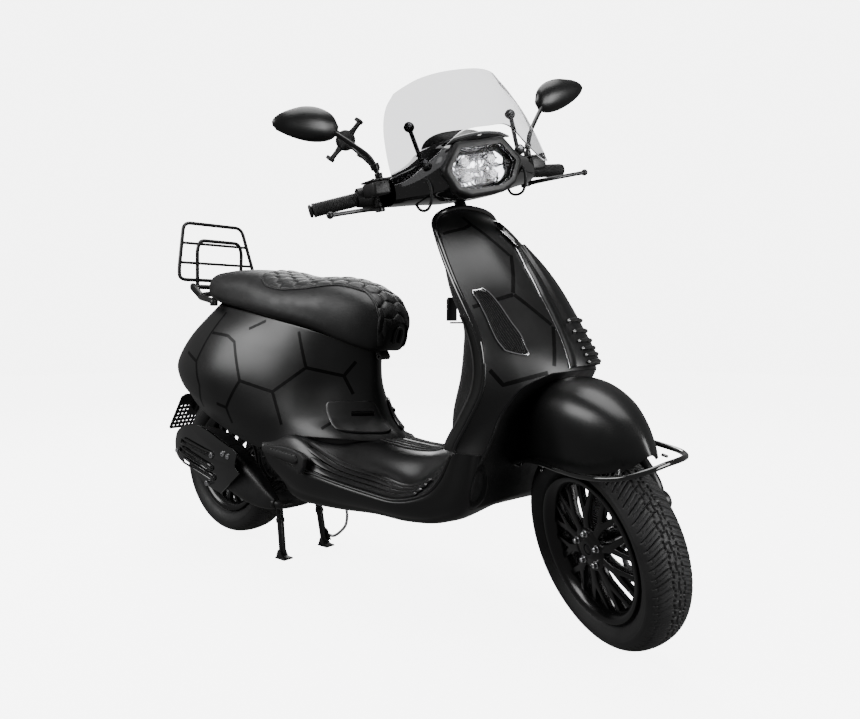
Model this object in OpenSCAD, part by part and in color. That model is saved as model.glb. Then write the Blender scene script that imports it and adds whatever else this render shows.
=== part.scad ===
// Moped scooter: step-through body, leading single-arm fork, rear engine unit on a centre stand.
// Frame: +X forward, +Y left, +Z up, origin on the ground on the centre plane.

/* [Layout] */
// Front axle, ahead of the origin
front_axle_x = 685; // [680:1:690]
// Rear axle, behind the origin
rear_axle_x = 655; // [652:1:658]
// Rear axle height, with the tyre lifted by the centre stand
rear_axle_z = 246; // [244:1:248]
// Steering axis angle from the vertical, degrees
rake = 26.5; // [26:0.1:27]
// Steering angle that the scooter is parked at, degrees to the right
parked_turn = 28.5; // [24:0.5:30]

/* [Wheels] */
// Front tyre outer radius
front_tyre_r = 229; // [226:1:229]
// Front tyre section width
front_tyre_w = 110; // [106:1:110]
// Rear tyre outer radius
rear_tyre_r = 236; // [232:1:238]
// Rear tyre section width
rear_tyre_w = 120; // [112:1:122]
// Bead seat radius of both 12 inch rims
bead_r = 152.4; // [152:0.1:153]
// Number of wheel bolts
wheel_bolts = 5; // [4:1:6]
// Bolt circle radius
bolt_circle_r = 39; // [36:1:42]
// Number of forked spokes
spokes = 10; // [7:1:10]

/* [Controls] */
// Handlebar tube radius
bar_r = 11; // [10.8:0.1:11]
// Grip outer radius
grip_r = 17; // [16:0.5:18]
// Lever tip distance from the centre plane
lever_tip_y = 349; // [340:1:352]
// Mirror centre distance from the centre plane
mirror_y = 345; // [335:1:350]
// Mirror centre height
mirror_z = 1228; // [1220:1:1236]

/* [Panels] */
// Wall thickness of the painted panels
panel_t = 2.6; // [2:0.2:3]
// Tube radius of the folding rear rack
rack_tube_r = 6; // [5:0.5:6.5]
// Half width of the rear rack
rack_half_w = 146; // [140:1:150]
// Number of rubber strips on each floor side
floor_strips = 4; // [2:1:5]
// Number of ribs in each indicator grille
grille_ribs = 5; // [3:1:7]

/* [Hidden] */
$fn = 48;
soft_fn = 28;
play = 0.05;                                  // running clearance of a shaft in its bore
front_axle_z = front_tyre_r;
front_axle = [front_axle_x, 0, front_axle_z];
rear_axle = [-rear_axle_x, 0, rear_axle_z];
axis_foot = [775, 0, 0];                      // where the steering axis meets the ground
axis_dir = [-sin(rake), 0, cos(rake)];
stem_r = 14;
axle_pin_r = 10;
hinge_pin_r = 4;                              // pin of the seat hinge
bar_inner = [248, 0, 1042];
bar_bend = [232, 226, 1050];
bar_end = [204, 361, 1040];
engine_pivot = [-235, 0, 332];
stand_pivot = [-352, 0, 172];
arm_pivot = [790, 74, 330];
seat_hinge = [14, 0, 610];
rack_pivot = [-752, 0, 818];
cradle_base = [228, -244, 1186];

// ---- control nets: each row is half an outline, mirrored across the centre plane ----

// Rear body, levels from the bottom rim to the rim under the seat, front centre to rear centre
BODY = [
  [[76, 0, 404], [52, 42, 403], [8, 84, 404], [-60, 128, 408], [-190, 172, 404], [-300, 184, 372],
   [-470, 190, 408], [-620, 178, 456], [-735, 140, 500], [-800, 76, 520], [-820, 0, 524]],
  [[30, 0, 448], [10, 42, 448], [-36, 80, 448], [-100, 118, 450], [-200, 166, 450], [-310, 195, 446],
   [-480, 214, 470], [-640, 198, 500], [-755, 152, 530], [-826, 80, 545], [-846, 0, 550]],
  [[0, 0, 520], [-18, 35, 520], [-62, 72, 520], [-124, 106, 522], [-200, 148, 528], [-310, 188, 532],
   [-485, 220, 548], [-650, 200, 565], [-765, 150, 580], [-830, 78, 590], [-848, 0, 595]],
  [[-6, 0, 575], [-24, 32, 575], [-58, 64, 576], [-110, 96, 585], [-190, 134, 605], [-300, 162, 628],
   [-470, 184, 655], [-620, 170, 662], [-712, 130, 664], [-765, 68, 665], [-782, 0, 665]],
  [[-6, 0, 625], [-20, 30, 629], [-46, 58, 643], [-95, 88, 662], [-170, 118, 686], [-290, 134, 711],
   [-430, 132, 736], [-550, 118, 753], [-612, 90, 762], [-638, 48, 766], [-644, 0, 767]]
];
// Leg shield, rows from the top down, centre to right edge
SHIELD = [
  [[322, 0, 975], [318, 52, 973], [310, 94, 962], [300, 126, 942]],
  [[392, 0, 930], [380, 60, 928], [356, 116, 916], [336, 156, 900]],
  [[458, 0, 870], [440, 72, 868], [412, 134, 852], [382, 180, 838]],
  [[520, 0, 800], [498, 78, 798], [460, 146, 784], [430, 196, 770]],
  [[572, 0, 725], [548, 80, 722], [506, 152, 706], [482, 204, 690]],
  [[614, 0, 652], [590, 84, 650], [544, 158, 640], [505, 208, 622]],
  [[636, 0, 606], [610, 86, 600], [566, 150, 572], [500, 208, 560]],
  [[640, 0, 545], [612, 90, 545], [548, 162, 530], [468, 207, 500]],
  [[640, 0, 470], [604, 95, 470], [518, 182, 460], [430, 206, 440]]
];
// Floor and lower skin, sections from the rear forward, top centre round to bottom centre
FLOOR = [
  [[-285, 0, 394], [-285, 80, 394], [-283, 130, 390], [-280, 168, 376], [-276, 190, 358],
   [-245, 195, 318], [-190, 190, 275], [-145, 165, 224], [-130, 0, 212]],
  [[-150, 0, 396], [-150, 90, 396], [-150, 145, 398], [-148, 178, 388], [-140, 199, 324],
   [-125, 202, 292], [-115, 192, 252], [-105, 160, 216], [-100, 0, 208]],
  [[20, 0, 396], [5, 75, 390], [0, 128, 360], [5, 165, 330], [10, 200, 302],
   [12, 203, 280], [15, 190, 245], [20, 158, 219], [20, 0, 210]],
  [[140, 0, 388], [140, 75, 372], [140, 120, 330], [140, 160, 312], [145, 201, 290],
   [148, 204, 272], [150, 192, 248], [155, 160, 230], [155, 0, 218]],
  [[225, 0, 385], [230, 75, 374], [235, 120, 322], [238, 162, 303], [245, 203, 287],
   [250, 206, 272], [258, 194, 248], [270, 162, 232], [275, 0, 224]],
  [[275, 0, 402], [292, 75, 392], [310, 122, 356], [322, 165, 330], [332, 204, 312],
   [342, 206, 290], [358, 196, 264], [372, 164, 250], [376, 0, 258]],
  [[290, 0, 410], [320, 75, 404], [350, 122, 390], [368, 165, 372], [380, 205, 352],
   [405, 207, 330], [435, 200, 310], [446, 165, 292], [430, 0, 296]],
  [[330, 0, 416], [352, 75, 413], [385, 122, 408], [405, 165, 408], [418, 205, 418],
   [440, 206, 420], [468, 202, 420], [490, 184, 420], [440, 0, 400]]
];
// Panel behind the leg shield, rows from the top down, centre to right edge
KNEE = [
  [[252, 0, 958], [262, 50, 954], [282, 92, 944], [296, 114, 934]],
  [[250, 0, 900], [264, 50, 900], [302, 108, 896], [330, 142, 890]],
  [[262, 0, 840], [280, 60, 840], [330, 123, 838], [372, 166, 832]],
  [[276, 0, 770], [300, 60, 770], [358, 128, 768], [418, 182, 762]],
  [[298, 0, 694], [338, 60, 694], [396, 128, 692], [466, 192, 686]],
  [[298, 0, 640], [338, 60, 640], [396, 128, 640], [484, 196, 630]],
  [[290, 0, 570], [328, 60, 570], [386, 128, 570], [476, 196, 562]],
  [[270, 0, 490], [306, 60, 490], [362, 128, 492], [440, 196, 500]],
  [[262, 0, 422], [304, 60, 422], [360, 128, 424], [420, 194, 436]]
];
// Inner skin of the front wheel arch, rows from the bottom up, centre to edge
ARCH = [
  [[436, 0, 306], [438, 60, 306], [442, 110, 305], [448, 148, 304]],
  [[434, 0, 360], [436, 60, 360], [444, 116, 360], [458, 160, 360]],
  [[437, 0, 430], [440, 60, 430], [454, 118, 430], [478, 160, 424]],
  [[447, 0, 500], [452, 60, 500], [472, 112, 500], [498, 148, 496]],
  [[474, 0, 560], [480, 60, 558], [500, 104, 552], [524, 136, 540]],
  [[530, 0, 601], [538, 54, 598], [552, 94, 590], [566, 116, 576]],
  [[608, 0, 603], [604, 40, 602], [598, 70, 598], [590, 84, 594]]
];
// Front fender, sections from the rear forward, crown to lower edge
FENDER = [
  [[475, 0, 425], [475, 38, 418], [474, 64, 406], [477, 82, 396]],
  [[495, 0, 505], [498, 46, 490], [500, 76, 455], [508, 88, 402]],
  [[548, 0, 560], [552, 50, 546], [558, 82, 503], [566, 92, 414]],
  [[625, 0, 592], [628, 52, 579], [634, 85, 532], [640, 93, 424]],
  [[705, 0, 594], [706, 52, 581], [710, 83, 532], [714, 90, 430]],
  [[775, 0, 576], [774, 46, 562], [772, 72, 518], [770, 80, 434]],
  [[828, 0, 545], [824, 35, 534], [816, 56, 496], [806, 64, 438]],
  [[862, 0, 508], [856, 24, 498], [846, 41, 474], [834, 47, 444]],
  [[878, 0, 472], [872, 16, 466], [862, 30, 456], [850, 34, 448]]
];
// Seat, stations from the nose to the tail, bottom centre round to top centre
SEAT = [
  [[46, 0, 628], [44, 34, 630], [54, 40, 652], [66, 32, 690], [72, 0, 700]],
  [[24, 0, 622], [20, 60, 624], [32, 72, 666], [52, 54, 720], [58, 0, 738]],
  [[-38, 0, 648], [-42, 94, 646], [-20, 106, 692], [2, 80, 760], [8, 0, 784]],
  [[-150, 0, 689], [-150, 124, 688], [-132, 138, 726], [-106, 104, 792], [-100, 0, 820]],
  [[-300, 0, 716], [-300, 140, 716], [-290, 157, 756], [-266, 118, 806], [-258, 0, 828]],
  [[-440, 0, 742], [-440, 136, 742], [-432, 152, 780], [-420, 118, 836], [-416, 0, 856]],
  [[-570, 0, 760], [-568, 122, 760], [-572, 136, 798], [-566, 110, 844], [-566, 0, 866]],
  [[-656, 0, 772], [-648, 92, 772], [-666, 100, 804], [-658, 82, 848], [-658, 0, 862]]
];
// Headset cover, sections across the bar: half distance, front, back, top, bottom
HEADSET = [
  [0, 432, 200, 1131, 1000], [55, 428, 201, 1128, 1002], [85, 417, 202, 1121, 1005],
  [104, 402, 204, 1113, 1008], [135, 378, 204, 1102, 1012], [165, 356, 202, 1092, 1015],
  [189, 338, 202, 1084, 1018]
];
// Windscreen, rows from the lower edge up, centre to edge
SCREEN = [
  [[474, 0, 1150], [456, 60, 1146], [425, 120, 1104], [395, 175, 1068], [374, 206, 1060]],
  [[454, 0, 1178], [439, 60, 1174], [410, 118, 1150], [375, 172, 1125], [352, 201, 1118]],
  [[430, 0, 1212], [418, 60, 1209], [390, 114, 1198], [352, 164, 1190], [328, 188, 1184]],
  [[405, 0, 1255], [395, 58, 1253], [370, 106, 1248], [336, 146, 1240], [314, 168, 1232]],
  [[387, 0, 1290], [380, 50, 1289], [360, 92, 1284], [334, 122, 1274], [313, 142, 1264]]
];
// Brake hose route on the right, from the master cylinder round under the headset
HOSE = [[382, -126, 1061], [393, -126, 1043], [388, -126, 1018], [369, -127, 999], [342, -127, 994],
        [316, -127, 999], [300, -128, 1014]];
// Rod of the fender bumper, rear curl to front centre
BUMPER = [[500, 70, 388], [512, 90, 398], [540, 102, 407], [600, 108, 414], [700, 106, 422],
          [790, 92, 432], [850, 66, 448], [892, 36, 466], [912, 0, 474]];

// ---- curves and surfaces ----

function unit(v) = v / norm(v);
function blend4(a, b, c, d, t) =
  b + (c - a) * t / 2 + (2 * a - 5 * b + 4 * c - d) * t * t / 2 + (3 * b - a - 3 * c + d) * t * t * t / 2;
// Point at parameter t on the smooth curve through the points p
function along(p, t) =
  let (n = len(p), i = max(0, min(floor(t), n - 2)))
  let (a = i > 0 ? p[i - 1] : 2 * p[0] - p[1])
  let (d = i < n - 2 ? p[i + 2] : 2 * p[n - 1] - p[n - 2])
  blend4(a, p[i], p[i + 1], d, t - i);
function curve(p, n) = [for (i = [0:n - 1]) along(p, i * (len(p) - 1) / (n - 1))];
function flip(p) = [p.x, -p.y, p.z];
// Full row from the left edge over the centre to the right edge
function span_row(half) = let (n = len(half))
  [for (i = [0:2 * n - 2]) i < n ? half[n - 1 - i] : flip(half[i - n + 1])];
// Closed row from the front centre round the left side and back
function loop_row(half) = let (n = len(half))
  [for (i = [0:2 * n - 2]) i < n ? half[i] : flip(half[2 * n - 2 - i])];
function at(net, u, v) = along([for (row = net) along(row, v)], u);
function outward(net, u, v) =
  let (e = 0.02)
  unit(cross(at(net, u, v + e) - at(net, u, v - e), at(net, u + e, v) - at(net, u - e, v)));
// Grid of points over a patch of a net, moved out along the surface normal
function patch(net, u, v, nu, nv, out) =
  [for (i = [0:nu]) [for (j = [0:nv])
    let (a = u[0] + (u[1] - u[0]) * i / nu, b = v[0] + (v[1] - v[0]) * j / nv)
    at(net, a, b) + outward(net, a, b) * out]];

// Solid between two grids of equal size: the outer one and the inner one
module between(outer, inner) {
  m = len(outer);
  n = len(outer[0]);
  k = m * n;
  function id(i, j) = i * n + j;
  skin = [for (i = [0:m - 2], j = [0:n - 2], t = [0, 1])
    t == 0 ? [id(i, j), id(i + 1, j), id(i + 1, j + 1)] : [id(i, j), id(i + 1, j + 1), id(i, j + 1)]];
  rim = concat([for (j = [0:n - 1]) id(0, j)], [for (i = [1:m - 1]) id(i, n - 1)],
               [for (j = [1:n - 1]) id(m - 1, n - 1 - j)], [for (i = [1:m - 2]) id(m - 1 - i, 0)]);
  wall = [for (q = [0:len(rim) - 1], t = [0, 1])
    let (a = rim[q], b = rim[(q + 1) % len(rim)])
    t == 0 ? [a, b, b + k] : [a, b + k, a + k]];
  back = [for (f = skin) [f[0] + k, f[2] + k, f[1] + k]];
  polyhedron(points = concat([for (r = outer) each r], [for (r = inner) each r]),
             faces = concat(skin, back, wall), convexity = 8);
}

// Tube-like shell whose rows are closed loops
module loop_shell(net, nu, nv, t, us) {
  last = len(net[0]) - 1;
  outer = patch(net, us, [0, last], nu, nv, 0);
  inner = patch(net, us, [0, last], nu, nv, -t);
  k = (nu + 1) * nv;
  function id(i, j) = i * nv + j % nv;
  skin = [for (i = [0:nu - 1], j = [0:nv - 1], s = [0, 1])
    s == 0 ? [id(i, j), id(i + 1, j), id(i + 1, j + 1)] : [id(i, j), id(i + 1, j + 1), id(i, j + 1)]];
  back = [for (f = skin) [f[0] + k, f[2] + k, f[1] + k]];
  ends = [for (j = [0:nv - 1], s = [0, 1], e = [0, 1])
    let (a = id(e * nu, j), b = id(e * nu, j + 1))
    e == 0 ? (s == 0 ? [a, b, b + k] : [a, b + k, a + k]) : (s == 0 ? [b, a, a + k] : [b, a + k, b + k])];
  points = concat([for (i = [0:nu], j = [0:nv - 1]) outer[i][j]],
                  [for (i = [0:nu], j = [0:nv - 1]) inner[i][j]]);
  polyhedron(points = points, faces = concat(skin, back, ends), convexity = 8);
}

// Closed solid through a list of rings, capped at both ends; rings turn right seen along the path
module loft(rings) {
  n = len(rings[0]);
  m = len(rings);
  function mean(r) = [for (r2 = r) 1] * r / len(r);
  side = [for (i = [0:m - 2], j = [0:n - 1], s = [0, 1])
    let (a = i * n + j, b = i * n + (j + 1) % n)
    s == 0 ? [a, a + n, b + n] : [a, b + n, b]];
  caps = [for (j = [0:n - 1], e = [0, 1])
    let (a = e * (m - 1) * n + j, b = e * (m - 1) * n + (j + 1) % n)
    e == 0 ? [m * n, a, b] : [m * n + 1, b, a]];
  polyhedron(points = concat([for (r = rings) each r], [mean(rings[0]), mean(rings[m - 1])]),
             faces = concat(side, caps), convexity = 6);
}

// Round tube swept along points, with a frame carried along so that it never twists
module sweep(path, r, sides = 10) {
  n = len(path);
  function dir(i) = unit(path[min(i + 1, n - 1)] - path[max(i - 1, 0)]);
  function carry(i, a) = i == n ? [] :
    let (d = dir(i), b = unit(a - (a * d) * d)) concat([b], carry(i + 1, b));
  start = dir(0);
  sides_at = carry(0, abs(start.z) < 0.8 ? cross(start, [0, 0, 1]) : cross(start, [1, 0, 0]));
  function ring(i) = let (a = sides_at[i], b = cross(dir(i), a))
    [for (k = [0:sides - 1]) path[i] + r * (cos(360 * k / sides) * a + sin(360 * k / sides) * b)];
  loft([for (i = [0:n - 1]) ring(i)]);
}

module rod(a, b, r) {
  d = b - a;
  translate(a) rotate([0, acos(d.z / norm(d)), atan2(d.y, d.x)]) cylinder(r = r, h = norm(d));
}

module both_sides() {
  children();
  mirror([0, 1, 0]) children();
}

// Cylinder along Y between two distances from the centre plane
module across(x, z, r, y0, y1) {
  translate([x, y0, z]) rotate([-90, 0, 0]) cylinder(r = r, h = y1 - y0);
}

// Turns the whole front end to the parked steering angle
module parked() {
  translate(axis_foot) rotate(a = -parked_turn, v = axis_dir) translate(-axis_foot) children();
}

module on_axis(s) {
  translate(axis_foot) rotate([0, -rake, 0]) translate([0, 0, s]) children();
}

// Flat shape in the XZ plane given a thickness along Y
module side_plate(y0, y1) {
  translate([0, y1, 0]) rotate([90, 0, 0]) linear_extrude(y1 - y0) children();
}

// ---- body panels ----

module body_shell() {
  color("#3a3b3d") {
    loop_shell([for (row = BODY) loop_row(row)], 12, 36, panel_t, [0, 4]);
    both_sides() side_plate(20, 26) polygon([[-24, 566], [-24, 600], [4, 619], [23, 619], [23, 601], [6, 590]]);
    across(seat_hinge.x, seat_hinge.z, hinge_pin_r, -24, 24);
  }
}

module arch_cut() {
  side_plate(-260, 260) polygon([[700, 640], [640, 603], [604, 598], [568, 572], [543, 541], [520, 500],
    [508, 460], [489, 410], [468, 364], [455, 318], [446, 280], [446, 200], [700, 200]]);
}

module floor_pan() {
  color("#343537") difference() {
    loop_shell([for (row = FLOOR) loop_row(row)], 14, 32, panel_t, [0, 7]);
    arch_cut();
  }
}

SHIELD_NET = [for (row = SHIELD) span_row(row)];
KNEE_NET = [for (row = KNEE) let (r = span_row(row)) [for (i = [0:6]) r[6 - i]]];
BODY_NET = [for (row = BODY) loop_row(row)];

module leg_shield() {
  color("#3a3b3d") difference() {
    between(patch(SHIELD_NET, [0, 7.9], [0, 6], 14, 18, 0),
            patch(SHIELD_NET, [0, 7.9], [0, 6], 14, 18, -panel_t));
    arch_cut();
  }
}

module shield_trim() {
  side_steps = 14;
  top_steps = 12;
  function edge(u, v, way) = at(SHIELD_NET, u, v) + unit(at(SHIELD_NET, u, v) - at(SHIELD_NET, u, v + way)) * 7.5;
  function crown(v) = at(SHIELD_NET, 0, v) + unit(at(SHIELD_NET, 0, v) - at(SHIELD_NET, 0.1, v)) * 7.5;
  left = [for (i = [0:side_steps]) edge(7.6 * (1 - i / side_steps) + 0.1, 0, 0.1)];
  top = [for (j = [1:top_steps - 1]) crown(6 * j / top_steps)];
  right = [for (i = [0:side_steps]) edge(7.6 * i / side_steps + 0.1, 6, -0.1)];
  color("#141414") sweep(concat(left, top, right), 6.5, 8);
}

module wheel_arch() {
  color("#1c1c1d") difference() {
    between(patch([for (row = ARCH) span_row(row)], [0, 6], [0, 6], 10, 12, 0),
            patch([for (row = ARCH) span_row(row)], [0, 6], [0, 6], 10, 12, -2.2));
    on_axis(560) cylinder(r = 34, h = 140);
  }
}

module knee_panel() {
  color("#303133") difference() {
    between(patch(KNEE_NET, [0, 8], [0, 6], 12, 12, 0), patch(KNEE_NET, [0, 8], [0, 6], 12, 12, -panel_t));
    translate([200, -92, 700]) cube([300, 184, 150]);
    translate([200, 60, 880]) rotate([0, 90, 0]) cylinder(r = 12, h = 200);
  }
}

module glovebox_door() {
  gap = 1.5;
  color("#303133") across(296, 703, 2.2, -60, 60);
  color("#303133") intersection() {
    between(patch(KNEE_NET, [1.5, 4.4], [1, 5], 6, 8, 0), patch(KNEE_NET, [1.5, 4.4], [1, 5], 6, 8, -4));
    translate([200, -92 + gap, 700 + gap]) cube([300, 184 - 2 * gap, 150 - 2 * gap]);
  }
}

module ignition_key() {
  color("#8a8a8a") {
    translate([262, 60, 880]) rotate([0, 90, 0]) cylinder(r = 11.9, h = 40);
    translate([236, 57, 876]) cube([28, 6, 8]);
    translate([216, 55, 868]) cube([22, 10, 24]);
  }
}

module nose_cover() {
  color("#101010") {
    between(patch(SHIELD_NET, [1.0, 5.9], [2.72, 3.28], 12, 4, 15), patch(SHIELD_NET, [1.0, 5.9], [2.72, 3.28], 12, 4, 0.5));
    between(patch(SHIELD_NET, [3.9, 5.9], [2.45, 2.7], 6, 2, 9), patch(SHIELD_NET, [3.9, 5.9], [2.45, 2.7], 6, 2, 0.5));
    between(patch(SHIELD_NET, [3.9, 5.9], [3.3, 3.55], 6, 2, 9), patch(SHIELD_NET, [3.9, 5.9], [3.3, 3.55], 6, 2, 0.5));
  }
}

module front_indicators() {
  color("#d8d8d8") for (v = [[0.95, 1.75], [4.25, 5.05]])
    between(patch(SHIELD_NET, [3.4, 5.4], v, 6, 4, 5), patch(SHIELD_NET, [3.4, 5.4], v, 6, 4, 0.5));
  color("#202020") for (v = [[0.95, 1.75], [4.25, 5.05]], i = [1:grille_ribs])
    let (a = v[0] + (v[1] - v[0]) * i / (grille_ribs + 1))
    between(patch(SHIELD_NET, [3.5, 5.3], [a - 0.02, a + 0.02], 4, 1, 7.5),
            patch(SHIELD_NET, [3.5, 5.3], [a - 0.02, a + 0.02], 4, 1, 5.2));
}

module head_tube() {
  color("#4a4a4a") difference() {
    union() {
      on_axis(690) cylinder(r = 27, h = 372);
      on_axis(690) cylinder(r = 34, h = 18);
      on_axis(1040) cylinder(r = 32, h = 22);
    }
    on_axis(680) cylinder(r = stem_r + play, h = 400);
  }
}

module floor_strips() {
  floor_net = [for (row = FLOOR) loop_row(row)];
  last = len(floor_net[0]) - 1;
  color("#1d1d1d") for (i = [0:floor_strips - 1])
    let (v = 2.62 + 0.34 * i)
    for (w = [[v, v + 0.16], [last - v - 0.16, last - v]])
      between(patch(floor_net, [1.3 + 0.1 * i, 5.0 - 0.12 * i], w, 6, 2, 5),
              patch(floor_net, [1.3 + 0.1 * i, 5.0 - 0.12 * i], w, 6, 2, 0.5));
}

module access_cover() {
  last = len(BODY_NET[0]) - 1;
  color("#343537") for (v = [[1.3, 3.1], [last - 3.1, last - 1.3]])
    between(patch(BODY_NET, [0.15, 1.55], v, 5, 6, 4), patch(BODY_NET, [0.15, 1.55], v, 5, 6, 0.5));
}

// ---- inside the rear body ----

module helmet_bucket() {
  color("#222222") {
    difference() {
      translate([0, 0, 500]) linear_extrude(150)
        polygon([[-92, 50], [-92, -50], [-128, -66], [-200, -100], [-340, -120], [-340, 120], [-200, 100], [-128, 66]]);
      translate([0, 0, 503]) linear_extrude(150)
        polygon([[-95, 48], [-95, -48], [-130, -63], [-201, -97], [-337, -117], [-337, 117], [-201, 97], [-130, 63]]);
      side_plate(-200, 200) polygon([[-60, 606], [-140, 636], [-360, 648], [-360, 700], [-60, 700]]);
    }
  }
}

module fuel_tank() {
  color("#2c2c2c") {
    translate([-590, -120, 572]) cube([236, 240, 118]);
    translate([-420, 0, 690]) cylinder(r = 26, h = 12);
  }
}

module fuel_cap() {
  color("#1a1a1a") translate([-420, 0, 0]) {
    translate([0, 0, 702.4]) cylinder(r = 30, h = 6);
    translate([-22, -5, 708]) cube([44, 10, 5]);
  }
}

module rear_lights() {
  last = len(BODY_NET[0]) - 1;
  middle = last / 2;
  color("#7a1015") between(patch(BODY_NET, [2.35, 3.3], [middle - 0.8, middle + 0.8], 6, 10, 9),
                           patch(BODY_NET, [2.35, 3.3], [middle - 0.8, middle + 0.8], 6, 10, 0.5));
}

module plate_holder() {
  plate_w = 150;
  color("#181818") {
    difference() {
      rod([-800, 0, 500], [-868, 0, 436], 12);
      translate([-900, -40, 500]) cube([200, 80, 60]);
    }
    translate([-866, 0, 452]) rotate([0, 36, 0]) difference() {
      translate([-6, -plate_w / 2, -160]) cube([4, plate_w, 160]);
      for (s = [-1, 1], z = [-40, -100]) translate([-8, s * 45, z]) rotate([0, 90, 0]) cylinder(r = 7, h = 10);
    }
  }
}

module grab_rail() {
  half = [[-560, 150, 766], [-620, 136, 774], [-690, 112, 782], [-732, 76, 790], [-750, 40, 795], [-754, 0, 797]];
  arm = 102;
  color("#1a1a1a") {
    sweep(curve(span_row([for (i = [0:5]) half[5 - i]]), 22), 9, 8);
    across(rack_pivot.x, rack_pivot.z, 3, -arm - 4, arm + 4);
    both_sides() side_plate(arm - 4, arm + 4) polygon([[-694, 776], [-700, 796], [-742, 828], [-760, 828],
      [-762, 812], [-712, 776]]);
  }
}

module rack_flap() {
  lean = 8;
  top = 1028;
  w = rack_half_w;
  inner = 84;
  function on(y, z) = [rack_pivot.x - (z - rack_pivot.z) * tan(lean), y, z];
  function hoop_on(y, z) = [rack_pivot.x + 6 * min(1, (z - rack_pivot.z) / 60), y, z];
  half = [on(-30, 840), on(-w + 34, 840), on(-w + 8, 850), on(-w, 874), on(-w + 32, top - 32),
          on(-w + 38, top - 12), on(-w + 60, top), on(-30, top)];
  hoop = [hoop_on(-inner, 824), hoop_on(-inner - 2, 880), hoop_on(-inner - 2, 940), hoop_on(-inner + 8, 962),
          hoop_on(-inner + 30, 970)];
  color("#161616") {
    sweep(concat(half, [for (i = [0:7]) flip(half[7 - i])], [half[0]]), rack_tube_r, 8);
    rod(on(-w + 6, 896), on(w - 6, 896), 4.5);
    rod(on(-w + 23, 961), on(w - 23, 961), 4.5);
    sweep(concat(hoop, [for (i = [0:4]) flip(hoop[4 - i])]), rack_tube_r, 8);
    difference() {
      across(rack_pivot.x, rack_pivot.z, 8, -inner - 12, inner + 12);
      across(rack_pivot.x, rack_pivot.z, 3.05, -inner - 20, inner + 20);
    }
  }
}

module subframe() {
  color("#2a2a2a") difference() {
    union() {
      both_sides() side_plate(86, 92) hull() {
        translate([-172, 232]) circle(r = 16, $fn = soft_fn);
        translate([stand_pivot.x, stand_pivot.z]) circle(r = 16, $fn = soft_fn);
      }
      both_sides() side_plate(86, 92) hull() {
        translate([-172, 232]) circle(r = 16, $fn = soft_fn);
        translate([engine_pivot.x, engine_pivot.z]) circle(r = 18, $fn = soft_fn);
      }
      across(engine_pivot.x, engine_pivot.z, 8, -88, 88);
      across(-170, 232, 8, -88, 88);
    }
    across(stand_pivot.x, stand_pivot.z, 7.05, -110, 110);
  }
}

module centre_stand() {
  foot_x = -323;
  color("#202020") {
    across(stand_pivot.x, stand_pivot.z, 7, -96, 96);
    across(stand_pivot.x, stand_pivot.z, 13, -84, 84);
    both_sides() {
      rod([stand_pivot.x, 74, stand_pivot.z], [foot_x, 82, 3], 9);
      translate([foot_x - 18, 66, 0]) cube([44, 34, 5]);
    }
    sweep([[foot_x - 6, 84, 40], [foot_x + 10, 112, 26], [foot_x + 26, 142, 50], [foot_x + 28, 152, 82],
      [foot_x + 22, 152, 120]], 4, 8);
  }
}

module peg(side) {
  color("#202020") {
    rod([-224, side * 214, 350], [-96, side * 214, 327], 8);
    translate([-84, side * 214, 308]) cylinder(r = 7, h = 32);
    rod([-96, side * 214, 327], [-84, side * 214, 324], 6);
  }
}
module peg_right() { peg(-1); }
module peg_left() { peg(1); }

// ---- engine unit ----

module engine_block() {
  color("#55575a") difference() {
    union() {
      across(-345, 290, 68, -62, 66);
      rod([-320, 0, 270], [-190, 0, 300], 44);
      across(engine_pivot.x, engine_pivot.z, 20, -60, 60);
      rod([engine_pivot.x, 0, engine_pivot.z], [-290, 0, 300], 24);
      translate([-400, -40, 330]) cube([90, 80, 60]);
    }
    across(engine_pivot.x, engine_pivot.z, 8 + play, -80, 80);
  }
}

module belt_cover() {
  color("#707275") difference() {
    union() {
      side_plate(70, 122) hull() {
        translate([-345, 290]) circle(r = 78, $fn = soft_fn);
        translate([rear_axle.x, rear_axle.z + 10]) circle(r = 66, $fn = soft_fn);
      }
      across(rear_axle.x, rear_axle.z, axle_pin_r, -52, 72);
    }
    across(-345, 290, 12, 110, 130);
  }
}

module fan_cover() {
  color("#303133") difference() {
    union() {
      across(-345, 300, 68, -92, -66);
      across(-345, 300, 56, -100, -90);
    }
    for (a = [0:45:315]) across(-345 + 38 * cos(a), 300 + 38 * sin(a), 8, -110, -94);
  }
}

module muffler() {
  color("#454648") {
    hull() {
      across(-640, 316, 50, -184, -120);
      across(-520, 280, 62, -188, -112);
      across(-420, 248, 44, -184, -120);
    }
    sweep(curve([[-440, -150, 240], [-380, -150, 202], [-330, -146, 178], [-280, -130, 163], [-240, -102, 160],
      [-214, -68, 178], [-206, -46, 212], [-206, -34, 252]], 18), 13, 12);
    rod([-620, -122, 300], [-600, -75, 290], 9);
  }
  color("#101010") guard();
}

module guard() {
  slots = 3;
  difference() {
    side_plate(-201, -195) hull() {
      translate([-672, 314]) circle(r = 44, $fn = soft_fn);
      translate([-600, 330]) circle(r = 50, $fn = soft_fn);
      translate([-505, 250]) circle(r = 52, $fn = soft_fn);
      translate([-430, 290]) circle(r = 40, $fn = soft_fn);
    }
    for (i = [0:slots - 1]) side_plate(-210, -190) hull() {
      translate([-670 + 10 * i, 344 - 30 * i]) circle(r = 6, $fn = soft_fn);
      translate([-560 + 10 * i, 304 - 30 * i]) circle(r = 6, $fn = soft_fn);
    }
  }
}

module rear_shock() {
  bottom = [-640, 150, 290];
  top = [-560, 148, 540];
  color("#8a8a8a") {
    rod(bottom, bottom + (top - bottom) * 0.45, 11);
    rod(bottom + (top - bottom) * 0.2, bottom + (top - bottom) * 0.9, 22);
    rod(bottom + (top - bottom) * 0.9, top, 9);
  }
}

// ---- wheels ----

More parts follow.
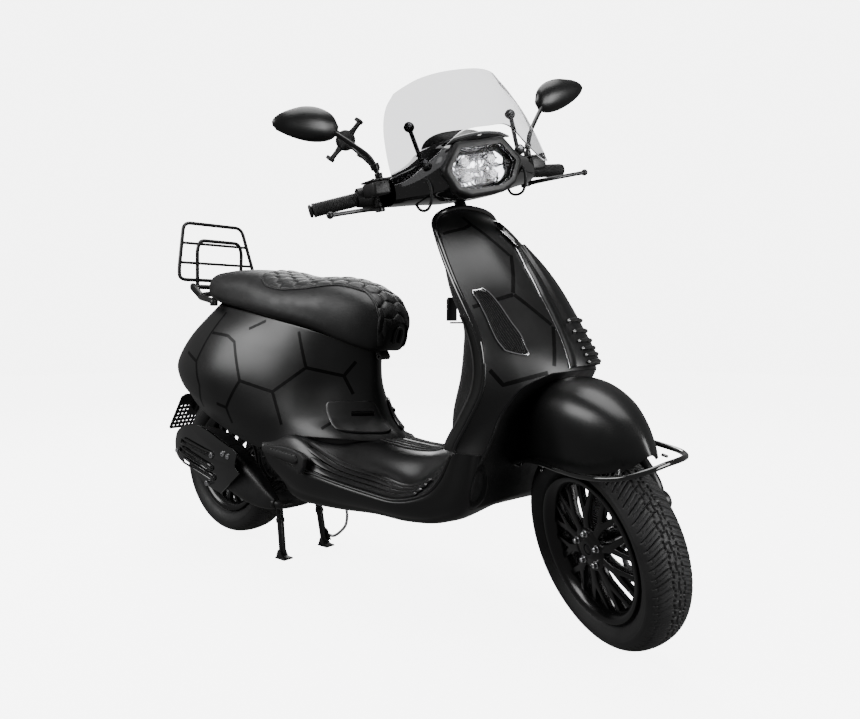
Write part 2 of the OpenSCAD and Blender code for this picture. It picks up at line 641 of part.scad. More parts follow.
module rim(axle, half_w, hub_from, hub_to, spoke_y) {
  translate(axle) rotate([-90, 0, 0]) difference() {
    union() {
      rotate_extrude($fn = 96) polygon([
        [144, -half_w], [160, -half_w - 4], [163, -half_w - 1], [163, -half_w + 2], [152.2, -half_w + 6],
        [152.2, half_w - 6], [163, half_w - 2], [163, half_w + 1], [160, half_w + 4], [148, half_w],
        [138, half_w - 10], [134, 0], [137, -half_w + 12]]);
      translate([0, 0, hub_from]) cylinder(r = 50, h = 16);
      translate([0, 0, hub_from]) cylinder(r = 26, h = hub_to - hub_from);
      for (i = [0:spokes - 1]) rotate([0, 0, 360 * i / spokes])
        translate([40, -9, spoke_y]) cube([98, 18, 12]);
    }
    translate([0, 0, hub_from - 10]) cylinder(r = axle_pin_r + play, h = hub_to - hub_from + 20);
    for (i = [0:wheel_bolts - 1]) rotate([0, 0, 360 * i / wheel_bolts])
      translate([bolt_circle_r, 0, hub_from - 10]) cylinder(r = 5.1, h = 60);
  }
}

module tyre(axle, r, w) {
  h = w / 2;
  translate(axle) rotate([-90, 0, 0]) rotate_extrude($fn = 96) polygon([
    [bead_r, -35.5], [164.5, -36.5], [172, -h + 7], [190, -h], [r - 22, -h + 3], [r - 8, -h + 18], [r - 2, -h + 34],
    [r, 0], [r - 2, h - 34], [r - 8, h - 18], [r - 22, h - 3], [190, h], [172, h - 7], [164.5, 36.5], [bead_r, 35.5],
    [158, 30], [r - 14, 30], [r - 12, 0], [r - 14, -30], [158, -30]]);
}

module bolts(axle, from) {
  translate(axle) rotate([-90, 0, 0]) for (i = [0:wheel_bolts - 1]) rotate([0, 0, 360 * i / wheel_bolts])
    translate([bolt_circle_r, 0, 0]) {
      translate([0, 0, from]) cylinder(r = 5, h = 26);
      translate([0, 0, from - 7]) cylinder(r = 9, h = 6.8, $fn = 6);
    }
}

module rear_rim() { color("#1a1a1a") rim(rear_axle, 42, -46, 60, -34); }
module rear_tyre() { color("#1c1c1c") tyre(rear_axle, rear_tyre_r, rear_tyre_w); }
module front_rim() {
  color("#1a1a1a") parked() rim(front_axle, 42, -46, 36, -38);
  color("#c8c8c8") parked() bolts(front_axle, -46);
}
module front_tyre() { color("#1c1c1c") parked() tyre(front_axle, front_tyre_r, front_tyre_w); }
module brake_disc() {
  color("#9a9a9a") parked() translate(front_axle) rotate([-90, 0, 0]) difference() {
    translate([0, 0, 36.4]) cylinder(r = 100, h = 4);
    translate([0, 0, 36]) cylinder(r = 30, h = 6);
    for (i = [0:11]) rotate([0, 0, 30 * i]) translate([82, 0, 36]) cylinder(r = 5, h = 6);
  }
}

// ---- front suspension ----

module fork_leg() {
  color("#262626") parked() {
    on_axis(612) cylinder(r = stem_r, h = 528);
    on_axis(600) cylinder(r = 22, h = 60);
    sweep([[506, 0, 540], [560, 40, 528], [640, 70, 500], [740, 74, 430], [790, 75, 376], [790, 77, 352]], 11);
    difference() {
      union() {
        across(arm_pivot.x, arm_pivot.z, 20, 76.4, 90);
        rod([790, 84, 330], [790, 82, 372], 6.5);
      }
      across(arm_pivot.x, arm_pivot.z, 8 + play, 60, 100);
    }
    across(590, 440, 6, 62, 84);
    rod([590, 72, 440], [620, 66, 508], 8);
  }
}

module link_arm() {
  color("#8d8f92") parked() difference() {
    union() {
      side_plate(62, 76) hull() {
        translate([arm_pivot.x, arm_pivot.z]) circle(r = 16, $fn = soft_fn);
        translate([front_axle.x, front_axle.z]) circle(r = 24, $fn = soft_fn);
      }
      side_plate(62, 76) hull() {
        translate([front_axle.x, front_axle.z]) circle(r = 20, $fn = soft_fn);
        translate([648, 246]) circle(r = 12, $fn = soft_fn);
      }
      across(arm_pivot.x, arm_pivot.z, 8, 60, 94);
      across(front_axle.x, front_axle.z, axle_pin_r, -44, 64);
      across(648, 246, 6, 62, 86);
    }
  }
}

module front_caliper() {
  color("#5c5d60") parked() difference() {
    translate([724, 29, 262]) cube([46, 30, 60]);
    translate([front_axle.x, 0, front_axle.z]) rotate([-90, 0, 0]) translate([0, 0, 35.6]) cylinder(r = 104, h = 6);
  }
}

module front_shock() {
  bottom = [648, 84, 246];
  top = [592, 78, 440];
  color("#b0b0b0") parked() rod(bottom + (top - bottom) * 0.1, bottom + (top - bottom) * 0.86, 9);
}

module front_fender() {
  color("#3a3b3d") parked() difference() {
    between(patch([for (row = FENDER) span_row(row)], [0, 8], [0, 6], 14, 14, 0),
            patch([for (row = FENDER) span_row(row)], [0, 8], [0, 6], 14, 14, -2.4));
    on_axis(560) cylinder(r = 26, h = 140);
  }
}

module fender_bumper() {
  full = span_row([for (i = [0:8]) BUMPER[8 - i]]);
  color("#101010") parked() {
    sweep(curve(full, 32), 5.5, 8);
    for (s = [-1, 1]) rod([700, s * 102, 424], [700, s * 92.5, 440], 3);
  }
}

// ---- headset and screen ----

module headset() {
  other_side = [for (i = [6:-1:1]) let (s = HEADSET[i]) [-s[0], s[1], s[2], s[3], s[4]]];
  stations = concat(other_side, HEADSET);
  function ring(s) = let (cx = (s[1] + s[2]) / 2, cz = (s[3] + s[4]) / 2, a = (s[1] - s[2]) / 2, b = (s[3] - s[4]) / 2)
    [for (k = [0:20]) let (t = -360 * k / 20, c = cos(t), n = sin(t))
      [cx + a * sign(c) * pow(abs(c), 0.75), s[0], cz + b * sign(n) * pow(abs(n), 0.75)]];
  rings = [for (s = stations) ring(s)];
  color("#0c0c0d") parked() difference() {
    loop_shell(rings, 18, 20, 2.5, [0, 12]);
    on_axis(1100) cylinder(r = 26, h = 70);
    translate([330, 0, 1066]) rotate([0, 90, 0]) linear_extrude(140) headlight_outline(5.5);
  }
}

// Six-sided headlight outline, grown by g; first coordinate runs down, second across
module headlight_outline(g) {
  offset(r = g + 8, $fn = soft_fn) polygon([[-42, -46], [-42, 46], [-4, 78], [28, 62], [40, 36], [40, -36], [28, -62], [-4, -78]]);
}

module headlight_bezel() {
  color("#0a0a0a") parked() translate([0, 0, 1066]) difference() {
    translate([352, 0, 0]) rotate([0, 90, 0]) linear_extrude(66) headlight_outline(4.5);
    translate([360, 0, 0]) rotate([0, 90, 0]) linear_extrude(66) headlight_outline(-2);
  }
}

module headlight_lens() {
  color("#dfe3e6") parked() translate([392, 0, 1066]) rotate([0, 90, 0]) linear_extrude(18) headlight_outline(-2.4);
}

module windscreen() {
  net = [for (row = SCREEN) let (r = span_row(row)) [for (i = [0:8]) r[8 - i]]];
  color("#b8bcc0", 0.4) parked()
    between(patch(net, [0, 4], [0, 8], 8, 16, 1.5), patch(net, [0, 4], [0, 8], 8, 16, -1.5));
}

module screen_brackets() {
  color("#141414") parked() both_sides() {
    rod([374, 127, 1094], [352, 134, 1180], 5);
    translate([376, 127, 1092]) rotate([0, 62, 0]) cylinder(r = 9, h = 14);
    translate([345, 134, 1184]) rotate([0, 62, 0]) cylinder(r = 9, h = 12);
    translate([376, 134, 1200]) rotate([0, 62, 0]) cylinder(r = 11, h = 12);
  }
}

// ---- bars and controls ----

module handlebar() {
  color("#202020") parked() difference() {
    union() {
      both_sides() {
        rod(bar_inner, bar_bend, bar_r - 0.4);
        rod(bar_bend + (bar_bend - bar_end) * 0.04, bar_end, bar_r);
        rod(bar_bend + (bar_end - bar_bend) * 0.94, bar_end, grip_r - 1);
      }
      on_axis(1141) cylinder(r = 20, h = 44);
    }
    on_axis(1130) cylinder(r = 6, h = 40);
  }
}

module grip(side) {
  a = [bar_bend.x, side * bar_bend.y, bar_bend.z];
  b = [bar_end.x, side * bar_end.y, bar_end.z];
  difference() {
    union() {
      rod(a + (b - a) * 0.10, a + (b - a) * 0.93, grip_r);
      rod(a + (b - a) * 0.06, a + (b - a) * 0.12, grip_r + 4);
    }
    rod(a - (b - a) * 0.2, b + (b - a) * 0.2, bar_r + play);
  }
}
module left_grip() { color("#1a1a1a") parked() grip(1); }
module throttle_grip() { color("#1a1a1a") parked() grip(-1); }

module control_pods() {
  color("#1b1b1c") parked() both_sides() difference() {
    union() {
      translate([248, 193, 1050]) cube([78, 42, 34]);
      translate([249, 197, 1030]) cube([20, 16, 40]);
      translate([262, 205, 1024]) cylinder(r = 9, h = 12);
      rod(bar_bend + [3, -22, -1.5], bar_bend + [1.6, -4, 0], 21);
      translate([198, 206, 1030]) cube([14, 16, 36]);
    }
    rod([bar_inner.x, 0, bar_inner.z], [bar_bend.x, bar_bend.y, bar_bend.z], bar_r + 0.3);
    rod(bar_bend - (bar_end - bar_bend) * 0.1, bar_end, bar_r + 0.3);
    translate([185, 214, 1040]) rotate([0, 90, 0]) cylinder(r = 5 + play, h = 22);
  }
}

module push_button(side) {
  color("#b02020") parked() translate([192, side * 214, 1040]) rotate([0, 90, 0]) cylinder(r = 5, h = 11);
}
module starter_button() { push_button(-1); }
module horn_button() { push_button(1); }

module indicator_switch() {
  color("#c0c0c0") parked() translate([191, 209, 1052]) cube([6.7, 10, 8]);
}

module lever(side) {
  tip = [322, side * lever_tip_y, 1020];
  color("#8f9194") parked() {
    difference() {
      union() {
        translate([262, side * 205, 1012]) cylinder(r = 12, h = 11.6);
        rod([266, side * 212, 1018], [304, side * 246, 1019], 5.5);
        rod([304, side * 246, 1019], tip, 5);
      }
      translate([262, side * 205, 1000]) cylinder(r = 4, h = 40);
    }
    translate(tip) sphere(r = 8.5);
  }
}
module lever_right() { lever(-1); }
module lever_left() { lever(1); }

module mirror_head(side) {
  head = [[-75, 6, 6, 0, -19], [-59, 24, 20, 0, -9], [-30, 36, 26, -2, -1], [5, 42, 28, -2, 1],
          [40, 38, 24, 0, 1], [63, 24, 16, 0, -1], [75, 5, 5, 0, -2]];
  rings = [for (h = head) [for (k = [0:19]) let (t = 18 * k)
    [262 + h[3] + h[2] * cos(t), side * (mirror_y + h[0]), mirror_z + h[4] - side * h[1] * sin(t)]]];
  stem = [[292, 205, 1088], [293.5, 210, 1110], [291, 226, 1136], [277, 261, 1177], [262, 300, 1219]];
  color("#0d0d0e") parked() {
    sweep(curve([for (p = stem) [p.x, side * p.y, p.z]], 12), 5.8, 12);
    translate([292, side * 205, 1084.4]) cylinder(r = 9, h = 14);
    loft(rings);
  }
}
module mirror_right() {
  clamp = [293, -213, 1118];
  mirror_head(-1);
  color("#101010") parked() rod(clamp, clamp + (cradle_base - clamp) * 0.77, 6);
}
module mirror_left() { mirror_head(1); }

module phone_cradle() {
  color("#101010") parked() translate(cradle_base) {
    rotate([0, -70, 0]) {
      cylinder(r = 24, h = 12);
      for (a = [45:90:315]) rotate([0, 0, a]) {
        translate([18, -6, 2]) cube([40, 12, 7]);
        translate([52, -8, 2]) cube([8, 16, 22]);
      }
    }
  }
}

module brake_hoses() {
  color("#111111") parked() both_sides() sweep(curve([for (p = HOSE) flip(p)], 22), 3.4, 8);
}

// ---- seat ----

module seat_cushion() {
  rows = 20;
  around = 24;
  columns = len(loop_row(SEAT[0])) - 1;
  function station(u) = [for (k = [0:columns - 1]) along([for (s = SEAT) loop_row(s)[k]], u)];
  function ring(u) = let (row = station(u), closed = concat([row[columns - 1]], row, [row[0], row[1]]))
    [for (j = [0:around - 1]) along(closed, 1 + (around - j) * columns / around)];
  color("#2a2a2b") loft([for (i = [0:rows]) ring(7 * i / rows)]);
}

module seat_base() {
  color("#1a1a1a") difference() {
    union() {
      side_plate(-60, 60) polygon([[-120, 668], [-300, 707], [-440, 733], [-560, 750], [-560, 755], [-440, 738],
        [-300, 712], [-120, 673]]);
      side_plate(-16, 16) polygon([[-130, 666], [-60, 648], [-6, 629], [4, 614], [22, 614], [18, 624], [-4, 634],
        [-60, 652], [-130, 671]]);
      across(seat_hinge.x, seat_hinge.z, 9, -18, 18);
    }
    across(seat_hinge.x, seat_hinge.z, hinge_pin_r + play, -30, 30);
  }
}

body_shell();
floor_pan();
leg_shield();
shield_trim();
wheel_arch();
knee_panel();
nose_cover();
front_indicators();
head_tube();
floor_strips();
access_cover();
helmet_bucket();
fuel_tank();
fuel_cap();
rear_lights();
plate_holder();
grab_rail();
rack_flap();
subframe();
centre_stand();
engine_block();
belt_cover();
fan_cover();
muffler();
rear_shock();
rear_rim();
rear_tyre();
fork_leg();
link_arm();
front_caliper();
front_shock();
front_rim();
front_tyre();
brake_disc();
front_fender();
fender_bumper();
headset();
headlight_bezel();
headlight_lens();
windscreen();
screen_brackets();
handlebar();
control_pods();
starter_button();
horn_button();
indicator_switch();
brake_hoses();
left_grip();
throttle_grip();
lever_right();
lever_left();
mirror_right();
mirror_left();
phone_cradle();
seat_cushion();
seat_base();
peg_right();
peg_left();
glovebox_door();
ignition_key();
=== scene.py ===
"""Moped scooter on its centre stand: panels, seat, wheels, controls and their materials."""
import bpy
import bmesh
import math
import numpy as np
from mathutils import Matrix, Vector
from mathutils.bvhtree import BVHTree


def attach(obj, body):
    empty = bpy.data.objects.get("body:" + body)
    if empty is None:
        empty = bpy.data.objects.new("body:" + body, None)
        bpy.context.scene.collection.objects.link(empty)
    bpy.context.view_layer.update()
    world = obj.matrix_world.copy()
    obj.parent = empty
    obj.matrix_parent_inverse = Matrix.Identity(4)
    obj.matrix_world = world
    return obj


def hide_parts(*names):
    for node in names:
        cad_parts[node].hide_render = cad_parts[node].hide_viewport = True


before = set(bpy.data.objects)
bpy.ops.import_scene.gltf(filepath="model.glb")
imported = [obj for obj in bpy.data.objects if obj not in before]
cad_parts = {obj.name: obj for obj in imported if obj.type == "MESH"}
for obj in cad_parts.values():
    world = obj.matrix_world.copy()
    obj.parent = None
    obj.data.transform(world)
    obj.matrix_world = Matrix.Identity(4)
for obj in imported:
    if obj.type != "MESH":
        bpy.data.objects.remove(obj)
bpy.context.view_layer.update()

# ---- frame: millimetres in, metres out; steered parts are built straight ahead, then turned ----

MM = 0.001
RAKE = math.radians(26.5)
PARKED_TURN = math.radians(28.5)
STEER_AXIS = Vector((-math.sin(RAKE), 0, math.cos(RAKE)))
STEER_FOOT = Vector((0.775, 0, 0))
PARKED = (Matrix.Translation(STEER_FOOT) @ Matrix.Rotation(-PARKED_TURN, 4, STEER_AXIS)
          @ Matrix.Translation(-STEER_FOOT))
FRONT_AXLE = (685, 0, 229)
REAR_AXLE = (-655, 0, 246)
BAR_INNER = (248, 0, 1042)
BAR_BEND = (232, 226, 1050)
BAR_END = (204, 361, 1040)
LAMP_Z = 1066
# Rear body, levels from the bottom rim to the rim under the seat, front centre to rear centre
BODY = [
  [[76, 0, 404], [52, 42, 403], [8, 84, 404], [-60, 128, 408], [-190, 172, 404], [-300, 184, 372],
   [-470, 190, 408], [-620, 178, 456], [-735, 140, 500], [-800, 76, 520], [-820, 0, 524]],
  [[30, 0, 448], [10, 42, 448], [-36, 80, 448], [-100, 118, 450], [-200, 166, 450], [-310, 195, 446],
   [-480, 214, 470], [-640, 198, 500], [-755, 152, 530], [-826, 80, 545], [-846, 0, 550]],
  [[0, 0, 520], [-18, 35, 520], [-62, 72, 520], [-124, 106, 522], [-200, 148, 528], [-310, 188, 532],
   [-485, 220, 548], [-650, 200, 565], [-765, 150, 580], [-830, 78, 590], [-848, 0, 595]],
  [[-6, 0, 575], [-24, 32, 575], [-58, 64, 576], [-110, 96, 585], [-190, 134, 605], [-300, 162, 628],
   [-470, 184, 655], [-620, 170, 662], [-712, 130, 664], [-765, 68, 665], [-782, 0, 665]],
  [[-6, 0, 625], [-20, 30, 629], [-46, 58, 643], [-95, 88, 662], [-170, 118, 686], [-290, 134, 711],
   [-430, 132, 736], [-550, 118, 753], [-612, 90, 762], [-638, 48, 766], [-644, 0, 767]]
]

# Leg shield, rows from the top down, centre to edge
SHIELD = [
  [[322, 0, 975], [318, 52, 973], [310, 94, 962], [300, 126, 942]],
  [[392, 0, 930], [380, 60, 928], [356, 116, 916], [336, 156, 900]],
  [[458, 0, 870], [440, 72, 868], [412, 134, 852], [382, 180, 838]],
  [[520, 0, 800], [498, 78, 798], [460, 146, 784], [430, 196, 770]],
  [[572, 0, 725], [548, 80, 722], [506, 152, 706], [482, 204, 690]],
  [[614, 0, 652], [590, 84, 650], [544, 158, 640], [505, 208, 622]],
  [[636, 0, 606], [610, 86, 600], [566, 150, 572], [500, 208, 560]],
  [[640, 0, 545], [612, 90, 545], [548, 162, 530], [468, 207, 500]],
  [[640, 0, 470], [604, 95, 470], [518, 182, 460], [430, 206, 440]]
]

# Floor and lower skin, sections from the rear forward, top centre to bottom centre
FLOOR = [
  [[-285, 0, 394], [-285, 80, 394], [-283, 130, 390], [-280, 168, 376], [-276, 190, 358],
   [-245, 195, 318], [-190, 190, 275], [-145, 165, 224], [-130, 0, 212]],
  [[-150, 0, 396], [-150, 90, 396], [-150, 145, 398], [-148, 178, 388], [-140, 199, 324],
   [-125, 202, 292], [-115, 192, 252], [-105, 160, 216], [-100, 0, 208]],
  [[20, 0, 396], [5, 75, 390], [0, 128, 360], [5, 165, 330], [10, 200, 302],
   [12, 203, 280], [15, 190, 245], [20, 158, 219], [20, 0, 210]],
  [[140, 0, 388], [140, 75, 372], [140, 120, 330], [140, 160, 312], [145, 201, 290],
   [148, 204, 272], [150, 192, 248], [155, 160, 230], [155, 0, 218]],
  [[225, 0, 385], [230, 75, 374], [235, 120, 322], [238, 162, 303], [245, 203, 287],
   [250, 206, 272], [258, 194, 248], [270, 162, 232], [275, 0, 224]],
  [[275, 0, 402], [292, 75, 392], [310, 122, 356], [322, 165, 330], [332, 204, 312],
   [342, 206, 290], [358, 196, 264], [372, 164, 250], [376, 0, 258]],
  [[290, 0, 410], [320, 75, 404], [350, 122, 390], [368, 165, 372], [380, 205, 352],
   [405, 207, 330], [435, 200, 310], [446, 165, 292], [430, 0, 296]],
  [[330, 0, 416], [352, 75, 413], [385, 122, 408], [405, 165, 408], [418, 205, 418],
   [440, 206, 420], [468, 202, 420], [490, 184, 420], [440, 0, 400]]
]

# Panel behind the leg shield, rows from the top down, centre to edge
KNEE = [
  [[252, 0, 958], [262, 50, 954], [282, 92, 944], [296, 114, 934]],
  [[250, 0, 900], [264, 50, 900], [302, 108, 896], [330, 142, 890]],
  [[262, 0, 840], [280, 60, 840], [330, 123, 838], [372, 166, 832]],
  [[276, 0, 770], [300, 60, 770], [358, 128, 768], [418, 182, 762]],
  [[298, 0, 694], [338, 60, 694], [396, 128, 692], [466, 192, 686]],
  [[298, 0, 640], [338, 60, 640], [396, 128, 640], [484, 196, 630]],
  [[290, 0, 570], [328, 60, 570], [386, 128, 570], [476, 196, 562]],
  [[270, 0, 490], [306, 60, 490], [362, 128, 492], [440, 196, 500]],
  [[262, 0, 422], [304, 60, 422], [360, 128, 424], [420, 194, 436]]
]

# Inner skin of the wheel arch, rows from the bottom up, centre to edge
ARCH = [
  [[436, 0, 306], [438, 60, 306], [442, 110, 305], [448, 148, 304]],
  [[434, 0, 360], [436, 60, 360], [444, 116, 360], [458, 160, 360]],
  [[437, 0, 430], [440, 60, 430], [454, 118, 430], [478, 160, 424]],
  [[447, 0, 500], [452, 60, 500], [472, 112, 500], [498, 148, 496]],
  [[474, 0, 560], [480, 60, 558], [500, 104, 552], [524, 136, 540]],
  [[530, 0, 601], [538, 54, 598], [552, 94, 590], [566, 116, 576]],
  [[608, 0, 603], [604, 40, 602], [598, 70, 598], [590, 84, 594]]
]

# Front fender, sections from the rear forward, crown to lower edge
FENDER = [
  [[475, 0, 425], [475, 38, 418], [474, 64, 406], [477, 82, 396]],
  [[495, 0, 505], [498, 46, 490], [500, 76, 455], [508, 88, 402]],
  [[548, 0, 560], [552, 50, 546], [558, 82, 503], [566, 92, 414]],
  [[625, 0, 592], [628, 52, 579], [634, 85, 532], [640, 93, 424]],
  [[705, 0, 594], [706, 52, 581], [710, 83, 532], [714, 90, 430]],
  [[775, 0, 576], [774, 46, 562], [772, 72, 518], [770, 80, 434]],
  [[828, 0, 545], [824, 35, 534], [816, 56, 496], [806, 64, 438]],
  [[862, 0, 508], [856, 24, 498], [846, 41, 474], [834, 47, 444]],
  [[878, 0, 472], [872, 16, 466], [862, 30, 456], [850, 34, 448]]
]

# Seat, stations from the nose to the tail, bottom centre round to top centre
SEAT = [
  [[46, 0, 628], [44, 34, 630], [54, 40, 652], [66, 32, 690], [72, 0, 700]],
  [[24, 0, 622], [20, 60, 624], [32, 72, 666], [52, 54, 720], [58, 0, 738]],
  [[-38, 0, 648], [-42, 94, 646], [-20, 106, 692], [2, 80, 760], [8, 0, 784]],
  [[-150, 0, 689], [-150, 124, 688], [-132, 138, 726], [-106, 104, 792], [-100, 0, 820]],
  [[-300, 0, 716], [-300, 140, 716], [-290, 157, 756], [-266, 118, 806], [-258, 0, 828]],
  [[-440, 0, 742], [-440, 136, 742], [-432, 152, 780], [-420, 118, 836], [-416, 0, 856]],
  [[-570, 0, 760], [-568, 122, 760], [-572, 136, 798], [-566, 110, 844], [-566, 0, 866]],
  [[-656, 0, 772], [-648, 92, 772], [-666, 100, 804], [-658, 82, 848], [-658, 0, 862]]
]
# Headset cover, sections across the bar: half distance, front, back, top, bottom
HEADSET = [
  [0, 432, 200, 1131, 1000], [55, 428, 201, 1128, 1002], [85, 417, 202, 1121, 1005],
  [104, 402, 204, 1113, 1008], [135, 378, 204, 1102, 1012], [165, 356, 202, 1092, 1015],
  [189, 338, 202, 1084, 1018]
]
# Windscreen, rows from the lower edge up, centre to edge
SCREEN = [
  [[474, 0, 1150], [456, 60, 1146], [425, 120, 1104], [395, 175, 1068], [374, 206, 1060]],
  [[454, 0, 1178], [439, 60, 1174], [410, 118, 1150], [375, 172, 1125], [352, 201, 1118]],
  [[430, 0, 1212], [418, 60, 1209], [390, 114, 1198], [352, 164, 1190], [328, 188, 1184]],
  [[405, 0, 1255], [395, 58, 1253], [370, 106, 1248], [336, 146, 1240], [314, 168, 1232]],
  [[387, 0, 1290], [380, 50, 1289], [360, 92, 1284], [334, 122, 1274], [313, 142, 1264]]
]

# Brake hose route under the headset
HOSE = [[382, -126, 1061], [393, -126, 1043], [388, -126, 1018], [369, -127, 999], [342, -127, 994],
        [316, -127, 999], [300, -128, 1014]]
# Rod of the fender bumper, rear to front centre
BUMPER = [[503, 78, 390], [514, 96, 402], [540, 105, 412], [576, 107, 425], [623, 109, 436], [677, 110, 440],
          [732, 110, 441], [790, 106, 443], [849, 94, 448], [892, 70, 455], [913, 38, 462], [920, 0, 466]]

# ---- curves and surfaces, as in the CAD ----

def spline(points, t, closed=False):
    """Catmull-Rom curve through points at the parameters t; points may be rows of points."""
    p = np.asarray(points, float)
    n = len(p)
    ends = (p[-2:-1], p[1:2]) if closed else (2 * p[:1] - p[1:2], 2 * p[-1:] - p[-2:-1])
    q = np.concatenate([ends[0], p, ends[1]])
    t = np.asarray(t, float)
    i = np.clip(np.floor(t).astype(int), 0, n - 2)
    f = (t - i).reshape((-1,) + (1,) * (p.ndim - 1))
    a, b, c, d = q[i], q[i + 1], q[i + 2], q[i + 3]
    square, cube = 2 * a - 5 * b + 4 * c - d, 3 * b - a - 3 * c + d
    return b + (c - a) * f / 2 + square * f ** 2 / 2 + cube * f ** 3 / 2


def smooth(points, n, closed=False):
    return spline(points, np.linspace(0, len(points) - 1, n), closed)


def flip(rows):
    return np.asarray(rows, float) * (1, -1, 1)


def span_net(half, right_first=False):
    """Full rows from the left edge over the centre to the right edge, or the other way round."""
    h = np.asarray(half, float)
    net = np.concatenate([h[:, ::-1], flip(h[:, 1:])], axis=1)
    return net[:, ::-1] if right_first else net


def loop_net(half):
    h = np.asarray(half, float)
    return np.concatenate([h, flip(h[:, -2::-1])], axis=1)


class Surface:
    """Smooth surface through a net; u runs down the rows and v along them, side 1 or -1 faces out."""

    def __init__(self, net, closed=False, side=1):
        self.net = np.asarray(net, float)
        self.closed = closed
        self.side = side
        self.u_end = len(self.net) - 1
        self.v_end = len(self.net[0]) - 1

    def grid(self, us, vs):
        if self.closed:
            vs = np.mod(np.asarray(vs, float), self.v_end)
        across = spline(self.net.transpose(1, 0, 2), vs, self.closed)
        return spline(across.transpose(1, 0, 2), us)

    def normal_grid(self, us, vs):
        us, vs = np.asarray(us, float), np.asarray(vs, float)
        e = 0.01
        dv = self.grid(us, vs + e) - self.grid(us, vs - e)
        du = self.grid(us + e, vs) - self.grid(us - e, vs)
        n = np.cross(dv, du) * self.side
        return n / np.maximum(np.linalg.norm(n, axis=-1, keepdims=True), 1e-9)

    def points(self, uv, out=0.0):
        """Points on the surface at a list of (u, v), lifted by out."""
        return np.array([self.grid([u], [v])[0, 0] + self.normal_grid([u], [v])[0, 0] * out for u, v in uv])


# ---- meshes ----

def mesh_object(name, verts, faces, sharp=40):
    mesh = bpy.data.meshes.new(name)
    mesh.from_pydata([tuple(float(c) * MM for c in v) for v in verts], [],
                     [tuple(map(int, f)) for f in faces])
    mesh.update()
    mesh.shade_smooth()
    if sharp:
        mesh.set_sharp_from_angle(angle=math.radians(sharp))
    return place_object(name, mesh)


def place_object(name, data):
    obj = bpy.data.objects.new(name, data)
    bpy.context.collection.objects.link(obj)
    return obj


def grid_faces(m, n, closed=False):
    last = n if closed else n - 1
    return [(i * n + j, i * n + (j + 1) % n, (i + 1) * n + (j + 1) % n, (i + 1) * n + j)
            for i in range(m - 1) for j in range(last)]


def grid_mesh(name, points, cols=0, closed=False, turned=False):
    """Sheet over rows of points; a flat list of points needs its number of columns."""
    points = np.asarray(points, float)
    cols = cols or points.shape[1]
    points = points.reshape(-1, 3)
    faces = grid_faces(len(points) // cols, cols, closed)
    return mesh_object(name, points, [f[::-1] for f in faces] if turned else faces, sharp=0)


def loft(name, rings):
    """Closed body through rings of points, its two ends filled with fans."""
    rings = np.asarray(rings, float)
    m, n = rings.shape[:2]
    verts = list(rings.reshape(-1, 3)) + [rings[0].mean(0), rings[-1].mean(0)]
    faces = grid_faces(m, n, True) + [(m * n, (j + 1) % n, j) for j in range(n)]
    faces += [(m * n + 1, (m - 1) * n + j, (m - 1) * n + (j + 1) % n) for j in range(n)]
    return weld(mesh_object(name, verts, faces, sharp=0))


def thicken(obj, thickness, rim=0.5):
    """Wall of a panel, inwards from its outer skin in millimetres, with a rounded rim."""
    solid = obj.modifiers.new("wall", "SOLIDIFY")
    solid.thickness = thickness * MM
    solid.offset = -1
    solid.use_rim = True
    if rim:
        round_edges(obj, rim, 2, 50)
    return obj


def round_edges(obj, width, segments=2, angle=35):
    bevel = obj.modifiers.new("edge", "BEVEL")
    bevel.width = width * MM
    bevel.segments = segments
    bevel.limit_method = "ANGLE"
    bevel.angle_limit = math.radians(angle)
    bevel.harden_normals = False
    return obj


def final_mesh(obj):
    return bpy.data.meshes.new_from_object(obj.evaluated_get(bpy.context.evaluated_depsgraph_get()))


def bake(obj):
    """Applies the modifiers."""
    mesh = final_mesh(obj)
    obj.modifiers.clear()
    obj.data = mesh
    return obj


def shade(obj, sharp):
    """Smooth shading with creases where faces meet at more than an angle in degrees."""
    obj.data.shade_smooth()
    obj.data.set_sharp_from_angle(angle=math.radians(sharp))
    return obj


def cut(obj, cutter):
    boolean = obj.modifiers.new("cut", "BOOLEAN")
    boolean.operation = "DIFFERENCE"
    boolean.solver = "EXACT"
    boolean.object = cutter
    bake(obj)
    bpy.data.objects.remove(cutter)
    return shade(obj, 40)


def panel(name, surface, nu, nv, thickness=2.6, u=None, out=0.0, rim=0.5):
    """Sheet panel over a range of the surface's parameters."""
    u = u or (0, surface.u_end)
    us = np.linspace(u[0], u[1], nu)
    vs = np.linspace(0, surface.v_end, nv, endpoint=not surface.closed)
    p = surface.grid(us, vs) + surface.normal_grid(us, vs) * out
    obj = grid_mesh(name, p, 0, surface.closed, surface.side < 0)
    return thicken(obj, thickness, rim) if thickness else obj


def region(name, surface, left, right, rows, columns, height, crown, edge):
    """Raised patch between two lists of (u, v), each from top to bottom."""
    t = np.linspace(0, 1, rows)
    a, b = (spline(side, t * (len(side) - 1)) for side in (left, right))
    verts = []
    for i in range(rows):
        for s in np.linspace(0, 1, columns):
            lift = height + crown * 4 * s * (1 - s) * min(1, 6 * t[i], 6 * (1 - t[i]))
            verts += list(surface.points([a[i] + (b[i] - a[i]) * s], lift))
    return thicken(grid_mesh(name, verts, columns), 3, edge)


